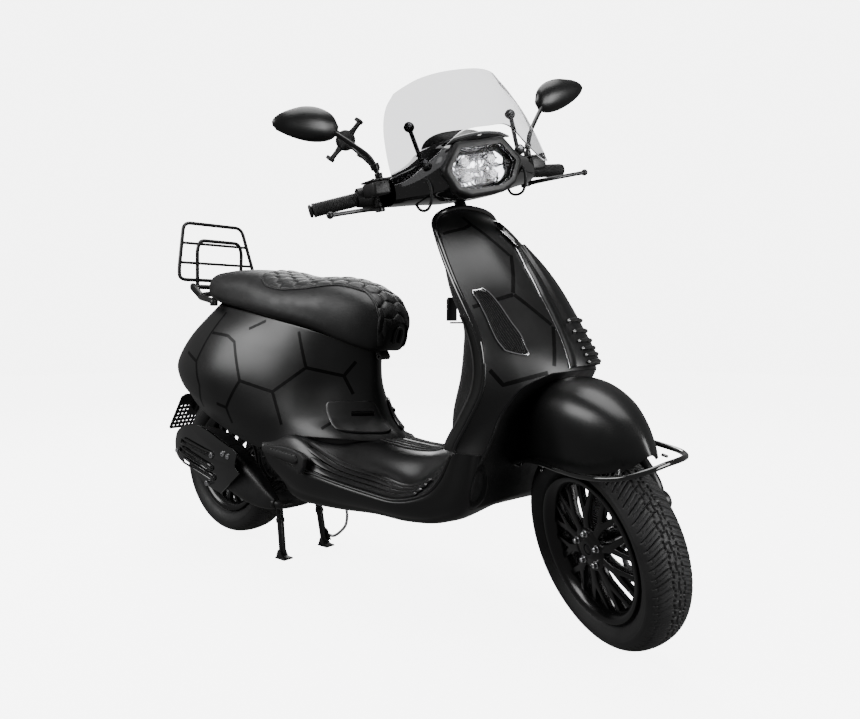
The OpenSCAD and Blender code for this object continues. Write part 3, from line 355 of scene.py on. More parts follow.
def tube(name, points, radius, closed=False, sides=6):
    """Round rod or tube through points in millimetres; radius may be one value or one for each point."""
    curve = bpy.data.curves.new(name, "CURVE")
    curve.dimensions = "3D"
    spl = curve.splines.new("POLY")
    spl.points.add(len(points) - 1)
    radii = np.broadcast_to(np.asarray(radius, float), (len(points),))
    top = float(radii.max())
    for point, p, r in zip(spl.points, points, radii):
        point.co = (p[0] * MM, p[1] * MM, p[2] * MM, 1)
        point.radius = float(r) / top
    spl.use_cyclic_u = closed
    spl.use_smooth = True
    curve.bevel_depth = top * MM
    curve.bevel_resolution = sides
    curve.use_fill_caps = not closed
    obj = place_object(name, curve)
    mesh = final_mesh(obj)
    bpy.data.objects.remove(obj)
    return shade(place_object(name, mesh), 50)


def taper(n, part, end, middle):
    """Radii for n points that narrow from middle to end over a part of the length at both ends."""
    return np.interp(np.linspace(0, 1, n), [0, part, 1 - part, 1], [end, middle, middle, end])


def fillet(points, radius, steps=6):
    """Polyline with its inner corners rounded."""
    p = [Vector(q) for q in points]
    out = [p[0]]
    for a, b, c in zip(p[:-2], p[1:-1], p[2:]):
        ra = min(radius, (a - b).length * 0.49)
        rc = min(radius, (c - b).length * 0.49)
        start, end = b + (a - b).normalized() * ra, b + (c - b).normalized() * rc
        for k in range(steps + 1):
            t = k / steps
            out.append(start.lerp(b, t).lerp(b.lerp(end, t), t))
    out.append(p[-1])
    return out


def turned_faces(steps, n):
    """Faces of a profile of n points turned full circle."""
    return [(k * n + i, k * n + i + 1, (k + 1) % steps * n + i + 1, (k + 1) % steps * n + i)
            for k in range(steps) for i in range(n - 1)]


def revolve(name, profile, centre, axis=(0, 1, 0), steps=96, sharp=35):
    """Profile of (radius, distance along the axis) turned round the axis."""
    axis = Vector(axis).normalized()
    side = axis.orthogonal().normalized()
    other = axis.cross(side)
    n = len(profile)
    verts = []
    for k in range(steps):
        a = 2 * math.pi * k / steps
        radial = side * math.cos(a) + other * math.sin(a)
        verts += [Vector(centre) + radial * r + axis * d for r, d in profile]
    obj = weld(mesh_object(name, verts, turned_faces(steps, n), sharp=0))
    obj.data.set_sharp_from_angle(angle=math.radians(sharp))
    return obj


def spring(name, a, b, radius, turns, low, high, wire, points, sides):
    """Coil round the line from a to b, between two fractions of its length; turns are in radians."""
    axis = b - a
    side = np.cross(axis, (0, 1, 0))
    side /= np.linalg.norm(side)
    other = np.cross(axis, side) / np.linalg.norm(axis)
    coil = [a + axis * (low + (high - low) * t) + radius * (math.cos(t * turns) * side + math.sin(t * turns)
            * other) for t in np.linspace(0, 1, points)]
    return tube(name, coil, wire, sides=sides)


def weld(obj, outward=True):
    bm = bmesh.new()
    bm.from_mesh(obj.data)
    bmesh.ops.remove_doubles(bm, verts=bm.verts, dist=1e-6)
    if outward:
        bmesh.ops.recalc_face_normals(bm, faces=bm.faces)
    bm.to_mesh(obj.data)
    bm.free()
    return obj


def slab(name, outline, to_point, low, high, edge=1.0, steps=2):
    """Flat outline given a thickness and rounded edges; to_point(a, b, height) places each point."""
    n = len(outline)
    verts = [to_point(a, b, low) for a, b in outline] + [to_point(a, b, high) for a, b in outline]
    faces = [tuple(range(n))[::-1], tuple(range(n, 2 * n))]
    faces += [(i, (i + 1) % n, n + (i + 1) % n, n + i) for i in range(n)]
    obj = mesh_object(name, verts, faces)
    weld(obj)
    return round_edges(obj, edge, steps, 30) if edge else obj


def side_slab(name, outline, y0, y1, edge=1.0):
    return slab(name, outline, lambda a, b, y: (a, y, b), y0, y1, edge)


def block(name, low, high, edge=1.5):
    """Rounded block between two corners."""
    outline = [(low[0], low[1]), (high[0], low[1]), (high[0], high[1]), (low[0], high[1])]
    return slab(name, outline, lambda a, b, h: (a, b, h), low[2], high[2], edge, 3)


def rod(name, a, b, radius, edge=1.0):
    """Solid round bar with broken edges."""
    a, b = Vector(a), Vector(b)
    length = (b - a).length
    e = min(edge, radius * 0.4)
    profile = [(0, 0), (radius - e, 0), (radius - e * 0.3, e * 0.3), (radius, e), (radius, length - e),
               (radius - e * 0.3, length - e * 0.3), (radius - e, length), (0, length)]
    return revolve(name, profile, a, b - a, 40)


def join(name, pieces):
    """One object from several meshes, with their modifiers applied."""
    bm = bmesh.new()
    for piece in pieces:
        if piece.modifiers:
            bake(piece)
        bm.from_mesh(piece.data)
        bpy.data.objects.remove(piece)
    mesh = bpy.data.meshes.new(name)
    bm.to_mesh(mesh)
    bm.free()
    return shade(place_object(name, mesh), 35)


# Bodies whose pieces are built straight ahead and then turned with the parked bars
STEERED = {"steering", "front_arm", "front_wheel", "throttle", "brake_lever_left", "brake_lever_right",
           "mirror_left", "mirror_right", "phone_holder"}

def add(obj, body, material, *nodes, slot=None):
    """Gives a piece its material and body, and hides the CAD nodes it stands for."""
    if body in STEERED:
        obj.data.transform(PARKED)
    obj.data.materials.clear()
    obj.data.materials.append(material)
    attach(obj, body)
    if nodes:
        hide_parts(*nodes)
    return obj


def squared(wave, power):
    """A sine or cosine bent towards a square wave."""
    return np.sign(wave) * np.abs(wave) ** power


def mirrored(points):
    return [(p[0], -p[1], p[2]) for p in points]

# ---- materials ----

def grey(value):
    return (value, value, value * 1.02)


def paint(name, color, roughness, metallic=0.0, rough=None, tint=None, bumps=(), **shader):
    """Node material; rough and tint give a texture and its end values, bumps give texture, depth, strength.

    A texture is noise as (scale, detail, stretch) or cells as (feature, scale), on the object's coordinates.
    """
    material = bpy.data.materials.new(name)
    material.use_nodes = True
    tree = material.node_tree
    inputs = tree.nodes["Principled BSDF"].inputs
    fixed = {"Base Color": (*color, 1), "Roughness": roughness, "Metallic": metallic}
    for key, value in {**fixed, **shader}.items():
        inputs[key.replace("_", " ")].default_value = value
    coords = tree.nodes.new("ShaderNodeTexCoord").outputs["Object"]

    def node(kind, values, output, **settings):
        n = tree.nodes.new(f"ShaderNode{kind}")
        for key, value in settings.items():
            setattr(n, key, value)
        for key, value in values.items():
            if isinstance(value, bpy.types.NodeSocket):
                tree.links.new(value, n.inputs[key])
            else:
                n.inputs[key].default_value = value
        return n.outputs[output]

    def texture(spec):
        if isinstance(spec[0], str):
            return node("TexVoronoi", {"Vector": coords, "Scale": spec[1]}, "Distance", feature=spec[0])
        scale, detail, stretch = (*spec, *(3.0, None)[len(spec) - 1:])
        place = node("Mapping", {"Vector": coords, "Scale": stretch}, "Vector") if stretch else coords
        return node("TexNoise", {"Vector": place, "Scale": scale, "Detail": detail}, "Fac")

    def spread(spec, a, b, low=0.3, high=0.7):
        return node("MapRange", {0: texture(spec), 1: low, 2: high, 3: a, 4: b}, 0)

    if rough:
        tree.links.new(spread(*rough), inputs["Roughness"])
    if tint:
        spec, a, b, *limits = tint
        mix = {0: spread(spec, 0, 1, *limits), 6: (*a, 1), 7: (*b, 1)}
        tree.links.new(node("Mix", mix, 2, data_type="RGBA"), inputs["Base Color"])
    normal = None
    for spec, depth, strength in bumps:
        values = {"Height": texture(spec), "Distance": depth, "Strength": strength}
        normal = node("Bump", {**values, "Normal": normal} if normal else values, "Normal")
    if normal:
        tree.links.new(normal, inputs["Normal"])
    return material


def cast_alloy(name, value, rough):
    return paint(name, grey(value), rough, 0.85, ((45, 5), rough - 0.08, rough + 0.12),
                 ((15, 5), grey(value * 0.6), grey(value * 1.2)), [((900, 4), 0.0002, 0.35)])


SATIN = paint("satin_paint", grey(0.004), 0.33, 0, ((9, 4), 0.30, 0.36),
              ((9, 4), grey(0.0035), grey(0.0045)), [((700, 2), 0.00004, 0.25)])
GLOSS = paint("gloss_paint", grey(0.003), 0.10, 0, ((14, 4), 0.07, 0.13),
              ((30,), grey(0.0027), grey(0.0036)), [((400, 2), 0.00002, 0.1)], Coat_Weight=1.0,
              Coat_Roughness=0.03)
# Near-black low-sheen paint of the graphic lines, also used for the painted shade in the service covers'
# finger holes.
LINE = paint("line_paint", grey(0.0008), 0.35, 0, ((20, 4), 0.30, 0.42), ((25,), grey(0.0006), grey(0.001)),
             [((700, 2), 0.00003, 0.2)], Specular_IOR_Level=0.12)
TUBE = paint("tube_paint", grey(0.004), 0.32, 0, ((60, 4), 0.30, 0.38), ((25,), grey(0.005), grey(0.008)),
             [((1200, 2), 0.00008, 0.3)])
WHEEL = paint("wheel_paint", grey(0.003), 0.2, 0, ((40, 4), 0.17, 0.24), ((25,), grey(0.0025), grey(0.004)),
              [((900, 2), 0.00004, 0.3)])
PLASTIC = paint("grained_plastic", grey(0.006), 0.45, 0, ((40, 5), 0.39, 0.53),
                ((18, 4), grey(0.0048), grey(0.0072)), [(("F1", 900), 0.00012, 0.35),
                ((2200, 2), 0.00006, 0.3)])
RED_PLASTIC = paint("red_plastic", (0.25, 0.01, 0.01), 0.35, 0, None,
                    ((90,), (0.22, 0.010, 0.010), (0.28, 0.014, 0.012)), [((900,), 0.00008, 0.3)])
RUBBER = paint("soft_rubber", grey(0.008), 0.55, 0, ((70, 5), 0.52, 0.7),
               ((35, 4), grey(0.006), grey(0.010)), [((1500, 3), 0.0001, 0.4)])
TYRE = paint("tyre_rubber", grey(0.017), 0.62, 0, ((22, 6), 0.52, 0.72), ((22, 6), grey(0.009), grey(0.016)),
             [((500, 4), 0.00015, 0.3), ((2500, 2), 0.00006, 0.3)])
LEATHER = paint("seat_leather", grey(0.007), 0.5, 0, ((30, 5), 0.44, 0.56),
                ((12, 5), grey(0.00595), grey(0.0084)), [((60, 3), 0.0006, 0.12),
                (("SMOOTH_F1", 420), 0.00025, 0.4), ((1800, 3), 0.00006, 0.3)])
ALLOY = cast_alloy("cast_alloy", 0.16, 0.42)
DARK_ALLOY = cast_alloy("dark_alloy", 0.05, 0.3)
STEEL = paint("bright_steel", grey(0.62), 0.24, 1, ((40, 4, (1, 1, 24)), 0.16, 0.32),
              ((20, 4), grey(0.5), grey(0.68)), [((40, 4, (1, 1, 24)), 0.00003, 0.3)])
CHROME = paint("chrome_trim", grey(0.78), 0.08, 1, ((90, 4), 0.05, 0.12), None, [((400,), 0.00003, 0.15)])
EXHAUST = paint("exhaust_steel", grey(0.014), 0.42, 0.2, ((35, 6), 0.34, 0.52),
                ((10, 6), grey(0.010), grey(0.020)), [((800, 4), 0.0001, 0.4)])
SMOKED = paint("smoked_glass", grey(0.15), 0.03, 0, ((8, 4), 0.02, 0.05), None, [((3, 2), 0.001, 0.03)],
               Transmission_Weight=1.0, IOR=1.08, Specular_IOR_Level=0.2)
CLEAR = paint("lamp_glass", grey(0.97), 0.01, 0, ((20, 3), 0.005, 0.02), None, [((30, 2), 0.0003, 0.05)],
              Transmission_Weight=1.0, IOR=1.2)
MIRROR = paint("mirror_glass", grey(0.85), 0.02, 1, ((20, 3), 0.01, 0.03))
RED_LENS = paint("red_lens", (0.09, 0.004, 0.006), 0.12, 0, None,
                 (("F1", 160), (0.12, 0.006, 0.008), (0.05, 0.002, 0.003), 0.1, 0.6),
                 [(("F1", 160), 0.0008, 0.3)], Coat_Weight=1.0, Coat_Roughness=0.04)

# ---- body panels ----

body_skin = Surface(loop_net(BODY), closed=True)
floor_skin = Surface(loop_net(FLOOR), closed=True, side=-1)
SHIELD_FOOT = [[640, 0, 430], [604, 95, 430], [512, 190, 422], [424, 206.5, 420]]
shield_skin = Surface(span_net(SHIELD + [SHIELD_FOOT]))
knee_skin = Surface(span_net(KNEE, right_first=True))
arch_skin = Surface(span_net(ARCH), side=-1)
fender_skin = Surface(span_net(FENDER))
screen_skin = Surface(span_net(SCREEN, right_first=True))
ARCH_EDGE = [(700, 640), (640, 603), (604, 598), (568, 572), (543, 541), (520, 500), (508, 460), (489, 410),
             (468, 364), (455, 318), (446, 280), (446, 200), (700, 200)]


def arch_cutter():
    curve = [tuple(p) for p in smooth(ARCH_EDGE[2:11], 60)]
    return side_slab("cutter", ARCH_EDGE[:2] + curve + ARCH_EDGE[11:], -260, 260, 0)


def make_panels():
    shell = panel("body_shell_skin", body_skin, 96, 220, u=(-0.3, 4))
    add(shell, "chassis", SATIN, "body_shell")
    vs = np.linspace(0, 20, 220, endpoint=False)
    ring = body_skin.grid([0.03], vs)[0] - body_skin.normal_grid([0.03], vs)[0] * 2.5
    depth = np.interp(ring[:, 0], [-290, -190], [0, 75])[:, None] * (0, 0, 1)
    rows = [ring - depth * t for t in (0, 0.2, 0.6, 1)]
    skirt = grid_mesh("body_skirt", rows, 0, True)
    add(thicken(skirt, 2, 0), "chassis", SATIN)
    floor = panel("floor_skin", floor_skin, 110, 200, rim=0)
    add(cut(bake(floor), arch_cutter()), "chassis", SATIN, "floor_pan")
    shield = panel("leg_shield_skin", shield_skin, 160, 130, rim=0)
    add(cut(bake(shield), arch_cutter()), "chassis", SATIN, "leg_shield")
    add(panel("knee_skin", knee_skin, 110, 90), "chassis", PLASTIC, "knee_panel", slot="satin_black")
    add(panel("arch_skin", arch_skin, 70, 60, 2.2), "chassis", PLASTIC, "wheel_arch")
    make_arch_wall()
    fender = panel("fender_skin", fender_skin, 120, 90, 2.4, rim=0.8)
    add(fender, "steering", SATIN, "front_fender")


def make_arch_wall():
    """Closing wall of the front wheel arch, between the cut edges of the floor and the shield."""
    trees = [skin_tree(floor_skin), skin_tree(shield_skin)]
    curve = smooth(ARCH_EDGE[2:11] + [(446, 236)], 70)
    verts, cols = [], 25
    for x, z in curve:
        start = Vector((x - 3, 300, z)) * MM
        reach = [tree.ray_cast(start, Vector((0, -1, 0)), 0.3)[3] for tree in trees]
        reach = [r for r in reach if r]
        if not reach:
            break
        half = 298.5 - min(reach) / MM
        verts += [(x - 3, half * (2 * k / (cols - 1) - 1), z) for k in range(cols)]
    wall = grid_mesh("wheel_arch_wall", verts, cols)
    add(thicken(wall, 2, 0), "chassis", PLASTIC)


EDGE_END = 5.15


def shield_edge(out):
    """The rim of the leg shield, up the left side, over the top and down the right side."""
    left = [shield_skin.points([(u, 0)])[0] for u in np.linspace(EDGE_END, 0, 40)]
    top = [shield_skin.points([(0, v)])[0] for v in np.linspace(0.15, 5.85, 30)]
    right = [shield_skin.points([(u, 6)])[0] for u in np.linspace(0, EDGE_END, 40)]
    middle = shield_skin.points([(3.5, 3)])[0]
    points = np.array(left + top + right)
    away = points - middle
    away[:, 0] = 0
    away /= np.linalg.norm(away, axis=1, keepdims=True)
    return points + away * out


def make_shield_trim():
    path = smooth(shield_edge(4.0)[::4], 160)
    add(tube("shield_edge_trim", path, taper(len(path), 0.05, 3, 7.5)), "chassis", GLOSS, "shield_trim")
    for side, v in (("left", 0), ("right", 6)):
        route = shield_skin.points([(u, v) for u in np.linspace(EDGE_END - 0.1, 8.9, 60)])
        add(tube(f"shield_lower_lip_{side}", route, 4.2, sides=4), "chassis", SATIN)
        edge = shield_skin.points([(u, v) for u in np.linspace(3.6, 8.9, 60)])
        inward = np.sign(edge[:, 1:2]) * (0, -1, 0)
        rows = [edge + inward * b - (a, 0, 0) for a, b in ((0, 0), (14, 3), (34, 12), (52, 30))]
        flange = grid_mesh(f"shield_flange_{side}", rows)
        add(thicken(flange, 2, 0), "chassis", SATIN)


def line_on(surface_tree, points, width, lift):
    """Band of film laid along a route on a panel."""
    route = []
    for a, b in zip(points[:-1], points[1:]):
        steps = max(2, int(math.dist(a, b) / 6))
        route += [Vector(a).lerp(Vector(b), k / steps) for k in range(steps)]
    route.append(Vector(points[-1]))
    hits = [surface_tree.find_nearest(p * MM) for p in route]
    verts = []
    for k, (co, normal, _, _) in enumerate(hits):
        along = hits[min(k + 1, len(hits) - 1)][0] - hits[max(k - 1, 0)][0]
        side = along.cross(normal).normalized() * (width / 2)
        for s in (-1, -0.33, 0.33, 1):
            near, near_n, _, _ = surface_tree.find_nearest(co + side * s * MM)
            verts.append(tuple((near + near_n * lift * MM) / MM))
    faces = [(4 * k + j, 4 * k + 4 + j, 4 * k + 5 + j, 4 * k + 1 + j) for k in range(len(hits) - 1)
             for j in range(3)]
    return mesh_object("line", verts, faces, sharp=0)


# Graphic lines as routes on the right side; each is repeated on the left
BODY_LINES = [
    [(-517, -135, 732), (-534, -171, 676), (-568, -207, 584), (-537, -218, 515), (-557, -192, 447)],
    [(-529, -175, 670), (-448, -177, 662), (-414, -179, 645), (-362, -200, 536)],
    [(-362, -200, 536), (-250, -172, 509)],
    [(-362, -200, 536), (-417, -208, 456), (-408, -194, 410)],
    [(-417, -208, 456), (-459, -211, 465)],
    [(-250, -172, 509), (-163, -124, 578), (-191, -124, 677)],
    [(-163, -124, 578), (-68, -71, 557), (-41, -51, 596)],
    [(-68, -71, 557), (-42, -61, 508)],
    [(-250, -172, 509), (-210, -172, 421)],
    [(-645, -186, 609), (-568, -207, 584)],
    [(-375, -157, 684), (-319, -139, 707)],
    [(-70, -112, 434), (-89, -134, 416)],
]
SHIELD_LINES = [
    [(345, -74, 955), (368, -74, 930)],
    [(368, -92, 920), (341, -144, 905)],
    [(366, -92, 922), (368, -74, 930), (386, -70, 919), (460, -51, 856)],
    [(461, -46, 857), (489, -78, 810), (504, -101, 769)],
    [(506, -103, 765), (484, -143, 753), (461, -189, 738)],
    [(507, -101, 765), (574, -55, 699)],
    [(577, -53, 695), (603, -91, 612)],
    [(513, -199, 605), (533, -179, 574), (568, -144, 587), (597, -106, 598)],
]


def tree_of(obj):
    return BVHTree.FromObject(obj, bpy.context.evaluated_depsgraph_get())


def skin_tree(surface):
    """Search tree of the bare outer skin, without its wall."""
    skin = panel("skin", surface, 160, 300, 0)
    tree = tree_of(skin)
    bpy.data.objects.remove(skin)
    return tree


def make_lines(name, surface, lines):
    tree = skin_tree(surface)
    bands = []
    for route in lines:
        bands += [line_on(tree, route, 9, 0.35), line_on(tree, mirrored(route), 9, 0.35)]
    add(join(name, bands), "chassis", LINE)


TEARDROP_LEFT = [(3.06, 5.50), (3.74, 5.44), (4.34, 5.40), (4.72, 5.28), (5.0, 5.08)]
TEARDROP_RIGHT = [(3.04, 5.40), (3.24, 4.94), (4.14, 4.70), (4.60, 4.62), (5.13, 4.66)]


def make_indicators():
    """Teardrop grilles: dark recess, fine ribs and a bright outline on each side of the shield."""
    for side, turn in (("right", lambda p: p), ("left", lambda p: (p[0], 6 - p[1]))):
        left = [turn(p) for p in TEARDROP_LEFT]
        right = [turn(p) for p in TEARDROP_RIGHT]
        if side == "left":
            left, right = right, left
        lens = region(f"indicator_lens_{side}", shield_skin, right, left, 40, 16, 1.6, 0.5, 0.4)
        add(lens, "chassis", GLOSS, "front_indicators", slot="grille")
        outline = smooth(left, 24).tolist() + smooth(right, 24)[::-1].tolist()
        rim = shield_skin.points(outline, 2.6)
        rim = tube(f"indicator_rim_{side}", smooth(rim[::3], 90, True), 1.5, True)
        add(rim, "chassis", CHROME, "front_indicators")
        ribs = []
        for k in range(1, 10):
            s = k / 10
            a, b = np.array(smooth(left, 20)), np.array(smooth(right, 20))
            line = a + (b - a) * s
            keep = [p for p, wide in zip(line, np.abs(a - b)[:, 1]) if wide > 0.12]
            ribs.append(tube("rib", shield_skin.points(keep[:-1], 2.4), 0.8, sides=3))
        add(join(f"indicator_ribs_{side}", ribs), "chassis", PLASTIC, slot="grille")


def make_nose():
    """Raised centre panel of the shield with its groove, bright side lines, top grille and louvres."""
    top, bottom = 1.95, 5.95
    us = np.linspace(top, bottom, 70)
    half = np.interp(us, [1.95, 2.6, 3.5, 4.7, 5.95], [0.20, 0.42, 0.54, 0.58, 0.66])
    verts, cols = [], 29
    for u, w in zip(us, half):
        for j in range(cols):
            s = -1 + 2 * j / (cols - 1)
            base = shield_skin.grid([u], [3 + s * w])[0, 0]
            normal = shield_skin.normal_grid([u], [3 + s * w])[0, 0]
            edge = min(1, (1 - abs(s)) * 7)
            groove = 4.5 * math.exp(-((abs(s) - 0.62) / 0.16) ** 2) * min(1, max(0, (5.0 - u) * 2))
            verts.append(base + normal * (1 + 11 * math.sin(edge * math.pi / 2) + 5 * (1 - s * s) - groove))
    nose = grid_mesh("nose_panel", verts, cols)
    add(thicken(nose, 2.5, 0.6), "chassis", SATIN, "nose_cover", slot="gloss_black")
    for name, sign in (("right", 1), ("left", -1)):
        uv = [(u, 3 + sign * (w + 0.015)) for u, w in zip(us, half)]
        add(tube(f"nose_line_{name}", shield_skin.points(uv, 2.0), 1.6, sides=4), "chassis", CHROME)
    slats = []
    for k in range(6):
        u = 4.3 + 0.3 * k
        w = 0.34 - 0.012 * k
        uv = [(u + 0.05 * abs(s), 3 + s * w) for s in np.linspace(-1, 1, 24)]
        slats.append(tube("slat", shield_skin.points(uv, 19), taper(24, 0.1, 2, 5), sides=5))
    add(join("nose_louvres", slats), "chassis", GLOSS)
    grille_left = [(0.80, 2.9), (1.3, 2.76), (1.9, 2.86)]
    grille_right = [(0.80, 3.1), (1.3, 3.24), (1.9, 3.14)]
    badge = region("nose_top_grille", shield_skin, grille_left, grille_right, 24, 14, 7, 5, 1.0)
    add(badge, "chassis", GLOSS, "nose_cover")
    outline = smooth(grille_left, 14).tolist() + smooth(grille_right, 14)[::-1].tolist()
    add(tube("nose_top_rim", smooth(shield_skin.points(outline, 6)[::2], 60, True), 1.2, True, 4), "chassis",
        CHROME)


def flat_strip(surface, uv, half, height):
    """Low rubber band with bevelled sides, run over a surface."""
    mid = np.array(surface.points(uv, 3))
    up = np.array(surface.points(uv, 4)) - mid
    along = np.gradient(mid, axis=0)
    side = np.cross(along, up)
    side /= np.linalg.norm(side, axis=1, keepdims=True)
    ends = taper(len(uv), 0.03, 0.35, 1)[:, None]
    section = [(-1, -1), (-1, 0.3), (-0.8, 0.85), (-0.4, 1), (0.4, 1), (0.8, 0.85), (1, 0.3), (1, -1)]
    rings = np.array([mid + side * a * half * ends + up * b * height * ends for a,
                     b in section]).transpose(1, 0, 2)
    n = len(uv)
    faces = grid_faces(n, 8, True) + [tuple(range(8))[::-1], tuple(range((n - 1) * 8, n * 8))]
    return weld(mesh_object("strip", rings.reshape(-1, 3), faces, sharp=30))


def make_floor_details():
    strips, rims = [], []
    for turn in (lambda v: v, lambda v: 16 - v):
        for k in range(4):
            v = 2.74 + 0.32 * k
            uv = [(u, turn(v)) for u in np.linspace(1.25 + 0.1 * k, 5.0 - 0.1 * k, 70)]
            strips.append(flat_strip(floor_skin, uv, 7.5, 4))
        uv = [(u, turn(4)) for u in np.linspace(0.4, 6.9, 120)]
        rims.append(tube("rim", floor_skin.points(uv, 0.5), 4.0, sides=5))
    add(join("floor_rubber_strips", strips), "chassis", SATIN, "floor_strips", slot="rubber")
    add(join("footboard_rims", rims), "chassis", SATIN)
    mats = []
    for k in range(9):
        v = -0.66 + 0.165 * k
        if abs(v) < 0.05:
            continue
        p = floor_skin.grid(np.linspace(1.6, 4.6, 50), np.array([v % 16]))[:, 0] + (0, 0, 1.0)
        mats.append(tube("rib", p, 2.0, sides=3))
    add(join("tunnel_mat_ribs", mats), "chassis", RUBBER)
    for side in (-1, 1):
        cap = [(0, 0), (24, 0), (27, -1.5), (28, -4), (28, -9)]
        add(revolve(f"belly_cap_{'right' if side < 0 else 'left'}", cap, (-118, side * 171, 236),
                    (-0.15, side * 0.86, -0.48), 48), "chassis", SATIN)


# ---- seat ----

seat_skin = Surface(loop_net(SEAT), closed=True, side=-1)


def seat_body():
    """Closed seat form with rounded ends."""
    p = seat_skin.grid(np.linspace(0, 7, 100), np.linspace(0, 8, 96, endpoint=False))
    ends = [[ring.mean(0) + (ring - ring.mean(0)) * s + (d, 0, 0) for s, d in steps] for ring,
            steps in ((p[0], ((0.35, 7), (0.7, 5), (0.9, 2.5))),
            (p[-1], ((0.97, -5), (0.88, -9), (0.7, -12), (0.4, -14))))]
    return loft("seat_cover", ends[0] + list(p) + ends[1])


FOAM_PRESSURE = 4
FOAM_TRAVEL = 4 * MM
SEAT_VOXEL = 6 * MM
HONEYCOMB = 27


def swell(obj):
    """Foam pressing the cover outwards: cloth under pressure, with the travel of each point capped."""
    remesh = obj.modifiers.new("remesh", "REMESH")
    remesh.mode = "VOXEL"
    remesh.voxel_size = SEAT_VOXEL
    bake(obj)
    start = np.array([v.co for v in obj.data.vertices])
    cloth = obj.modifiers.new("cloth", "CLOTH")
    cloth.settings.use_pressure = True
    cloth.settings.uniform_pressure_force = FOAM_PRESSURE
    cloth.settings.effector_weights.gravity = 0
    cloth.settings.quality = 4
    scene = bpy.context.scene
    for f in range(1, 15):
        scene.frame_set(f)
    bake(obj)
    scene.frame_set(1)
    step = np.array([v.co for v in obj.data.vertices]) - start
    far = np.linalg.norm(step, axis=1, keepdims=True)
    step *= np.minimum(1, FOAM_TRAVEL / np.maximum(far, 1e-9))
    for v, co in zip(obj.data.vertices, start + step):
        v.co = co
    return obj


def quilt_half_width(u):
    """Half width of the top panel in v units, at station u."""
    return np.interp(u, [0.0, 0.3, 0.5, 0.95, 1.5, 2.1, 2.8, 3.4, 3.95, 4.35, 4.65, 4.82, 4.9],
                     [2.6, 2.45, 1.8, 1.05, 0.74, 0.55, 0.70, 1.02, 1.2, 1.2, 0.95, 0.5, 0.0])


def hex_distance(x, y, size):
    """Distance to the nearest edge of a honeycomb, in millimetres."""
    w, h = size * math.sqrt(3), size * 1.5
    best = []
    row = np.round(y / h)
    for dr in (-1, 0, 1):
        r = row + dr
        shift = (np.mod(r, 2)) * 0.5 * w
        col = np.round((x - shift) / w)
        for dc in (-1, 0, 1):
            best.append(np.hypot(x - shift - (col + dc) * w, y - r * h))
    d = np.sort(np.array(best), axis=0)
    return (d[1] - d[0]) / 2


def make_seat():
    base = swell(seat_body())
    tidy = base.modifiers.new("smooth", "CORRECTIVE_SMOOTH")
    tidy.iterations = 4
    tidy.use_only_smooth = True
    bake(base)
    base.data.shade_smooth()
    tree = tree_of(base)
    add(base, "seat", LEATHER, "seat_cushion")
    make_quilt(tree)


def on_tree(tree, p, lift):
    co, normal, _, _ = tree.find_nearest(Vector(p) * MM)
    return (co + normal * lift * MM) / MM


def run_along(points):
    """Distance run at each point of a polyline."""
    return np.concatenate([[0], np.cumsum(np.linalg.norm(np.diff(points, axis=0), axis=1))])


def make_quilt(tree):
    """Crowned quilted panel on top of the seat, its piping and the loop at its nose."""
    us = np.linspace(0.02, 4.89, 300)
    cols = 120
    verts = []
    length = run_along(seat_skin.grid(us, [4.0])[:, 0])
    for u, run in zip(us, length):
        half = max(0.004, quilt_half_width(u))
        vs = 4 + np.linspace(-half, half, cols)
        row = seat_skin.grid([u], vs)[0]
        normal = seat_skin.normal_grid([u], vs)[0]
        arc = run_along(row)
        arc -= arc[-1] / 2
        d = hex_distance(arc, np.full(cols, run), HONEYCOMB)
        edge = np.minimum(1, (half - np.abs(vs - 4)) / 0.05)
        puff = 5.0 * (1 - np.exp(-d / 4.5))
        for p, n, h, e in zip(row, normal, puff, edge):
            base = on_tree(tree, p, 0)
            verts.append(Vector(base) + Vector(n) * float(0.2 + (0.8 + h)
                         * math.sin(max(0, e) * math.pi / 2)))
    quilt = grid_mesh("seat_quilt", verts, cols)
    add(quilt, "seat", LEATHER)
    left, right = ([on_tree(tree, seat_skin.grid([u], [4 + s * quilt_half_width(u)])[0, 0], 1)
                   for u in us[::4]] for s in (-1, 1))
    route = smooth(left + right[::-1][1:], 420)
    add(tube("seat_piping", route, 2.6, sides=4), "seat", LEATHER)
    tab = [on_tree(tree, (92, y, z), 3.5) for y, z in ((-14, 634), (-14, 668), (-9, 680), (0, 684), (9, 680),
                                                      (14, 668), (14, 634))]
    add(tube("seat_loop", smooth(tab, 60), 4.5, sides=4), "seat", LEATHER)


# ---- wheels ----

def tyre_profile(radius, width):
    h = width / 2
    half = [(152.6, 34.5), (158, 37.4), (166, 38.6), (176, h - 8), (188, h - 1.2), (198, h),
            (radius - 26, h - 2.2), (radius - 16, h - 8), (radius - 8, h - 18), (radius - 2.4, h - 33),
            (radius, 0)]
    return smooth(half + [(r, -w) for r, w in half[-2::-1]], 150)


